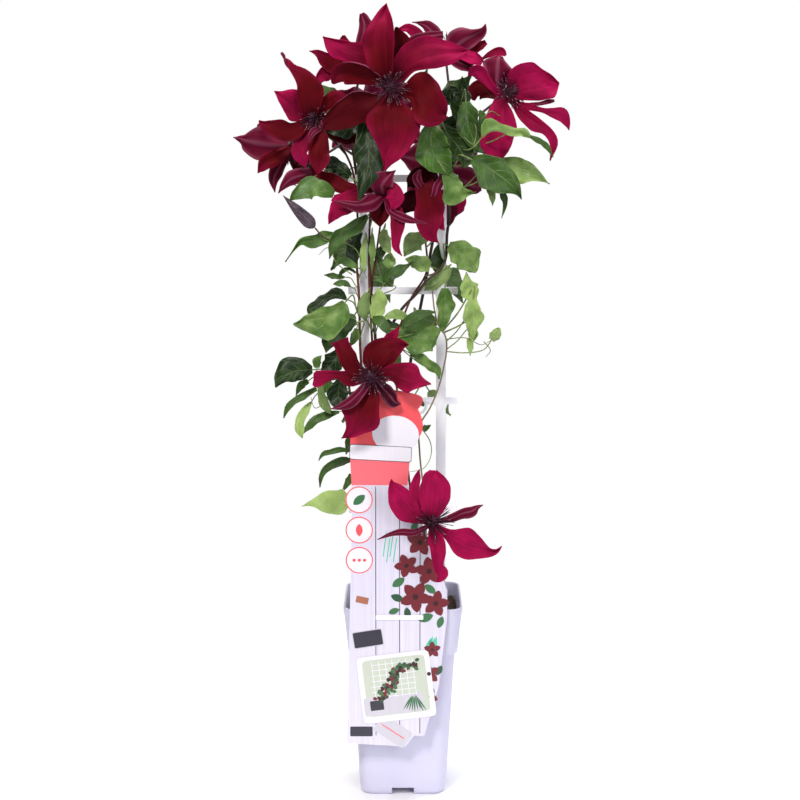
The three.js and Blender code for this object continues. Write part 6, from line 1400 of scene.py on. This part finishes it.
def buildLadder():
    parts = []
    turn = Matrix.Rotation(math.pi / 2, 4, "X")
    for z in ladder["rungs"]:
        rung = block(ladder["rung"], (0, ladder["y"], z))
        upright = [edge for edge in rung.edges if abs(edge.verts[0].co.x - edge.verts[1].co.x) < 0.1]
        roundEdges(rung, upright, ladder["rungRounding"])
        parts.append(rung)
        for x in (-ladder["railX"], ladder["railX"]):
            lip = bmesh.new()
            place = Matrix.Translation((x, ladder["y"], z - ladder["rung"][2] / 2))
            bmesh.ops.create_cone(lip, cap_ends=True, segments=28, radius1=ladder["lip"],
                                  radius2=ladder["lip"], depth=ladder["lipThick"], matrix=place @ turn)
            parts.append(lip)
    left, right = (block(ladder["rail"], (x, ladder["y"], ladder["middle"]), ladder["rounding"])
                   for x in (-ladder["railX"], ladder["railX"]))
    ladderLook = {**plasticLook, "bump": {"Strength": 0.1, "Distance": 0.0003},
                  "skin": {"Roughness": 0.36, "IOR": 1.49}}
    plastic = grainMaterial("ladder, injection-moulded polypropylene", "#f4f2fb", "#fdfcff", ladderLook)
    bm = combined(left, [right] + parts, "UNION")
    finishPiece("ladder_frame", bm, [plastic], ["trellis_ladder"], sharp=32)


buildLadder()
print("ladder made")


# The card's outline in x and z: up the right side from the lower left corner, over the lobes of its head,
# each given as a control point and an end, and down the left side. Prints lie over each other in layers.
card = {
    "y": -56.8,
    "thick": 0.8,
    "layer": 0.09,
    "bands": (289, 316),  # heights at which its ground changes: boards, pale coral, coral
    "right": [(-50, 55), (2, 52), (10, 62), (19, 62), (32, 108), (35, 136), (39, 170), (39, 195), (4, 289),
              (7, 325)],
    "head": [(24, 336, 13, 356), (22, 366, 12, 369), (-30, 382, -45, 352)],
    "left": [(-46, 325), (-46, 310), (-45, 289), (-45, 250)],
    "tongue": {"wide": 40, "x": -2, "thick": 1.0, "drop": 10, "inside": -49.5, "crown": 176.8},
    "strap": [(10, -56.4, 352), (18, -30, 350), (22, 7.6, 353)],
    "strapRadius": 1.2,
    "bar": {"size": (42, 1.2, 4.2), "x": -3, "z": 170.5, "proud": 0.7, "sag": 2.2, "dish": 0.6},
}
cardFront = card["y"] - card["thick"] / 2


# Laminated print: ink on smooth card under a thin clear film. grain draws faint upright streaks, as on
# boards, about 2 mm wide.
def printMaterial(name, tone, grain=0.0):
    material, tree, shader = newMaterial(name)
    place = addNode(tree, "TexCoord")
    stretch = addNode(tree, "Mapping", {"Scale": (420, 420, 9)}, {0: place.outputs["Object"]})
    streaks = addNode(tree, "TexNoise", {"Scale": 1.0, "Detail": 4.0}, {0: stretch})
    depth = addNode(tree, "MapRange", {1: 0.3, 2: 0.75, 3: 1.0, 4: 1.0 - grain}, {0: streaks})
    shade = addNode(tree, "VectorMath", {"operation": "SCALE", 0: colour(tone)[:3]}, {"Scale": depth})
    skin = {"Roughness": 0.38, "IOR": 1.5, "Coat Weight": 0.15, "Coat Roughness": 0.2}
    setNode(shader, skin, {"Base Color": shade})
    return material


tones = {
    "coral": "#f0555c", "white": "#ece9f2", "line": "#3a3444", "green": "#3b6f46", "leaf": "#284f33",
    "red": "#701a26", "wine": "#350a12", "mint": "#58c8a4", "grey": "#c9c6d0", "slate": "#2e2c3a",
    "sage": "#c4ccbc", "rust": "#a86a52",
}
inks = {name: bmesh.new() for name in tones}
cardBack = printMaterial("laminated card, plain back", "#e9e7ee", 0.03)


def cardOutline():
    outline = [Vector(p) for p in card["right"]]
    for cx, cz, ex, ez in card["head"]:
        start, control, end = outline[-1], Vector((cx, cz)), Vector((ex, ez))
        for k in range(1, 9):
            t = k / 8
            outline.append(start.lerp(control, t).lerp(control.lerp(end, t), t))
    return outline + [Vector(p) for p in card["left"]]


def thicken(bm, faces, depth):  # backwards
    grown = bmesh.ops.extrude_face_region(bm, geom=faces)["geom"]
    back = [g for g in grown if isinstance(g, bmesh.types.BMVert)]
    bmesh.ops.translate(bm, vec=(0, depth, 0), verts=back)


def buildCardSheet():
    bm = bmesh.new()
    face = bm.faces.new([bm.verts.new((p.x, cardFront, p.y)) for p in cardOutline()])
    thicken(bm, [face], card["thick"])
    for height in card["bands"]:
        bmesh.ops.bisect_plane(bm, geom=bm.faces[:] + bm.edges[:] + bm.verts[:], plane_co=(0, 0, height),
                               plane_no=(0, 0, 1))
    bmesh.ops.recalc_face_normals(bm, faces=bm.faces)
    for face in bm.faces:
        above = sum(face.calc_center_median().z > height for height in card["bands"])
        face.material_index = 1 if face.normal.y > -0.5 else (0, 3, 2)[above]
    boards = printMaterial("laminated card, printed boards", "#dedaec", 0.16)
    coral = printMaterial("laminated card, coral", tones["coral"], 0.03)
    paleCoral = printMaterial("laminated card, pale coral", "#f8707a", 0.03)
    finishPiece("card_sheet", bm, [boards, cardBack, coral, paleCoral], ["plant_label"], sharp=30)


def buildCardFixings():
    tongue = card["tongue"]
    reach = tongue["inside"] - card["y"]
    middle = card["y"] + reach / 2 + card["thick"] / 2
    low = tongue["crown"] + (tongue["thick"] - tongue["drop"]) / 2
    bridge = block((tongue["wide"], reach, tongue["thick"]), (tongue["x"], middle, tongue["crown"]), 0.2)
    lip = block((tongue["wide"], tongue["thick"], tongue["drop"]), (tongue["x"], tongue["inside"], low), 0.2)
    bm = combined(bridge, [lip], "UNION")
    finishPiece("card_tongue", bm, [cardBack], ["plant_label"], sharp=30)
    bm = bmesh.new()
    points = throughPoints([Vector(p) for p in card["strap"]], 8)
    for a, b in zip(points, points[1:]):
        addRod(bm, a, b, (card["strapRadius"], card["strapRadius"]), 10, 0)
    finishPiece("card_strap", bm, [cardBack], ["plant_label"], sharp=60)


def stamp(ink, form, x, z, wide, high, turn=0, level=1):
    bm = inks[ink]
    made = bmesh.ops.create_circle(bm, cap_ends=True, segments=28, radius=1)["verts"]
    spin = Matrix.Rotation(math.radians(turn), 2)
    for v in made:
        a, b = v.co.x, v.co.y
        if form == "panel":
            a, b = (math.copysign(abs(q) ** 0.12, q) for q in (a, b))  # nearly square corners
        elif form == "leaf":
            b *= abs(b) ** 0.6  # pointed ends
        flat = spin @ Vector((a * wide / 2, b * high / 2))
        v.co = (x + flat.x, cardFront - card["layer"] * level, z + flat.y)
    faces = {face for v in made for face in v.link_faces}
    thicken(bm, list(faces), card["layer"] * 1.5)


def stampFlower(x, z, size, turn, level=3):
    for k in range(5):
        around = turn + 72 * k
        way = Vector((math.cos(math.radians(around)), math.sin(math.radians(around))))
        px, pz = x + way.x * size * 0.27, z + way.y * size * 0.27
        stamp("red", "leaf", px, pz, size * 0.55, size * 0.36, around, level + 0.3 * (k % 3))
    stamp("wine", "oval", x, z, size * 0.2, size * 0.2, 0, level + 1.5)


def printHead():  # a coral head with a blank oval and a blank band, and the dark gaps between the boards
    stamp("white", "oval", -6.5, 334, 41, 33, -8, 2.4)
    stamp("line", "panel", -19.5, 317.4, 54.4, 13.6, -3, 3.4)
    stamp("white", "panel", -19.5, 317.4, 53.4, 12.6, -3, 4.4)
    for x, low, top in ((-24, 62, 288), (-3, 56, 288), (15, 64, 250)):
        stamp("line", "panel", x, (low + top) / 2, 0.7, top - low, 0, 1)


def printRings():  # three rings with plain motifs
    x = -38.4
    for z, motif in ((276, "leaf"), (249, "drop"), (222, "dots")):
        stamp("white", "oval", x, z, 24.2, 24.2, 0, 0.2)
        stamp("coral", "oval", x, z, 24, 24, 0, 1.5)
        stamp("white", "oval", x, z, 22, 22, 0, 2.5)
        if motif == "leaf":
            stamp("green", "leaf", x, z, 13, 7, 40, 3.5)
        elif motif == "drop":
            stamp("coral", "leaf", x, z, 11, 6, 90, 3.5)
        else:
            for k in range(3):
                stamp("coral", "oval", -43 + 4.6 * k, z, 2.8, 2.8, 0, 3.5)


def printSpray():  # an arching spray: flowers (x, z, size, turn) and leaves (x, z, length, turn, ink)
    flowers = [(15, 238, 23, 10), (3, 217, 20, 40), (23, 212, 24, 25), (11, 189, 26, 60), (29, 183, 22, 5),
               (23, 119, 18, 30), (22, 98, 17, 55), (26, 141, 14, 20)]
    leaves = [(-4, 202, 13, 35, "green"), (24, 196, 12, -40, "green"), (-5, 188, 12, 160, "leaf"),
              (20, 170, 14, 20, "green"), (4, 174, 11, 100, "leaf"), (33, 166, 11, 70, "green"),
              (-8, 176, 10, 20, "green"), (10, 252, 10, 60, "green"), (32, 122, 10, 60, "leaf")]
    for x, z, size, turn in flowers:
        stampFlower(x, z, size, turn)
    for x, z, long, turn, ink in leaves:
        stamp(ink, "leaf", x, z, long, long * 0.55, turn, 2.2)


def printSmallThings():  # mint strokes, a rust reel and a blank dark tag
    for k in range(4):
        stamp("mint", "leaf", 22 + 2.4 * k, 146 + 1.5 * (k % 2), 12, 2.2, 62 + 9 * k, 2)
        stamp("mint", "panel", -16 + 3 * k, 236 - 5 * (k % 2), 0.9, 22, -8, 2)
    stamp("rust", "panel", -36, 186, 11, 6, -12, 2)
    stamp("grey", "panel", -31, 151, 27, 15.5, 9, 2)
    stamp("slate", "panel", -31, 151, 25.5, 14, 9, 3)


def printFramedPanel():  # a framed plain panel with a sprig
    turn, specks = 7, 110
    stamp("grey", "panel", -6, 107, 66, 62, turn, 3)
    stamp("white", "panel", -6, 107, 65, 61, turn, 4)
    stamp("sage", "panel", -6, 108, 56, 52, turn, 5)
    stamp("grey", "panel", -8, 91, 53, 17, turn, 5.5)
    for k in range(7):
        stamp("white", "panel", -26 + 6 * k, 113 + 0.6 * k, 0.5, 34, turn, 6)
        stamp("white", "panel", -8, 99 + 5 * k, 40, 0.5, turn, 6.2)
    stamp("slate", "panel", -23, 90, 12, 9, turn, 6.4)
    draw = random.Random(5)
    for k in range(specks):
        t = k / specks
        x = -22 + 30 * t + 4 * math.sin(7 * t) + draw.uniform(-4, 4)
        z = 95 + 34 * t ** 0.7 + draw.uniform(-5, 4)
        ink = ("wine", "leaf", "red", "green")[k % 4]
        stamp(ink, "leaf", x, z, 4.4, 3, draw.uniform(0, 180), 6.6 + 0.02 * k)
    for k in range(9):
        z = 92 + draw.uniform(-1, 2)
        stamp("green", "leaf", 4 + 1.6 * k, z, 14, 1.3, 60 + 8 * k, 6.6 + 0.02 * k)


def printLowCorner():  # a turned pale slip with a coral line, and a blank dark block
    stamp("grey", "panel", -9, 66, 32, 17, -34, 1.5)
    stamp("coral", "panel", -9, 66, 24, 0.8, -34, 2.5)
    stamp("slate", "panel", -37, 66, 20, 9, 0, 2)


def buildPrints():
    printHead()
    printRings()
    printSpray()
    printSmallThings()
    printFramedPanel()
    printLowCorner()
    for name, bm in inks.items():
        ink = printMaterial(f"laminated print, {name} ink", tones[name], 0.04)
        finishPiece(f"card_print_{name}", bm, [ink], ["plant_label"], recalc=True, sharp=30)


def buildSlitBar():  # the white bar over the slit, raised from the card and hanging at its ends
    bar = card["bar"]
    wide = bar["size"][0]
    bm = block(bar["size"], (bar["x"], cardFront - bar["proud"], bar["z"]), 0.5)
    for v in bm.verts:
        middle = 1 - (v.co.x - bar["x"]) ** 2 / (wide / 2) ** 2
        v.co.z -= bar["sag"] * middle
        v.co.y -= bar["dish"] * middle
    whiteCard = printMaterial("laminated card, white", "#f2f0f6", 0.02)
    finishPiece("card_slit_bar", bm, [whiteCard], ["plant_label"], sharp=40)


buildCardSheet()
buildCardFixings()
buildPrints()
buildSlitBar()
print("card made")


# The studio, in metres: a white floor, a white backdrop that shows at full brightness and lights the plant
# at less than that, and round lamps with the place they point at.
studio = {
    "floorRadius": 0.6,
    "floor": "#f8f8fa",
    "backdropLight": 0.2,
    "lamps": {
        "key": {"at": (-0.6, -1.5, 1.7), "to": (0, 0, 0.45), "size": 0.5, "power": 33, "tone": "#fffaf6"},
        "fill": {"at": (0.8, -1.7, 0.9), "to": (0, 0, 0.45), "size": 0.9, "power": 13, "tone": "#f6f6ff"},
        "rim": {"at": (1.2, 0.7, 1.6), "to": (0, 0, 0.5), "size": 0.9, "power": 16, "tone": "#f4f6ff"},
        "overhead": {"at": (0, 0.2, 2.4), "to": (0, 0, 0), "size": 1.4, "power": 42, "tone": "#ffffff"},
    },
    "camera": (-0.00264, -1.6, 0.581),
    "tilt": 82,  # degrees from looking straight down
    "lens": 80.775,
    "sensor": 36,
}


def layFloor():
    bm = bmesh.new()
    bmesh.ops.create_circle(bm, cap_ends=True, segments=64, radius=studio["floorRadius"])
    mesh = bpy.data.meshes.new("floor")
    bm.to_mesh(mesh)
    bm.free()
    floor = bpy.data.objects.new("floor", mesh)
    bpy.context.scene.collection.objects.link(floor)
    material, _, shader = newMaterial("floor, matte white paint")
    setNode(shader, {"Base Color": colour(studio["floor"]), "Roughness": 0.9})
    mesh.materials.append(material)


def hangBackdrop():
    world = bpy.data.worlds.new("studio")
    world.use_nodes = True
    tree = world.node_tree
    path = addNode(tree, "LightPath")
    glow = addNode(tree, "MapRange", {"To Min": studio["backdropLight"], "To Max": 1.0},
                   {"Value": path.outputs["Is Camera Ray"]})
    setNode(tree.nodes["Background"], {0: (1, 1, 1, 1)}, {"Strength": glow})
    bpy.context.scene.world = world


def hangLamp(name, lamp):
    light = bpy.data.lights.new(name, "AREA")
    light.shape, light.size, light.energy = "DISK", lamp["size"], lamp["power"]
    light.color = colour(lamp["tone"])[:3]
    holder = bpy.data.objects.new(name, light)
    holder.location = lamp["at"]
    line = Vector(lamp["to"]) - Vector(lamp["at"])
    holder.rotation_euler = line.to_track_quat("-Z", "Y").to_euler()
    bpy.context.scene.collection.objects.link(holder)


def setCamera():
    lens = bpy.data.cameras.new("camera")
    lens.lens, lens.sensor_width = studio["lens"], studio["sensor"]
    camera = bpy.data.objects.new("camera", lens)
    camera.location = studio["camera"]
    camera.rotation_euler = (math.radians(studio["tilt"]), 0, 0)
    bpy.context.scene.collection.objects.link(camera)
    bpy.context.scene.camera = camera


layFloor()
hangBackdrop()
for name, lamp in studio["lamps"].items():
    hangLamp(name, lamp)
setCamera()
bpy.context.scene.view_settings.view_transform = "Standard"
print("studio set")
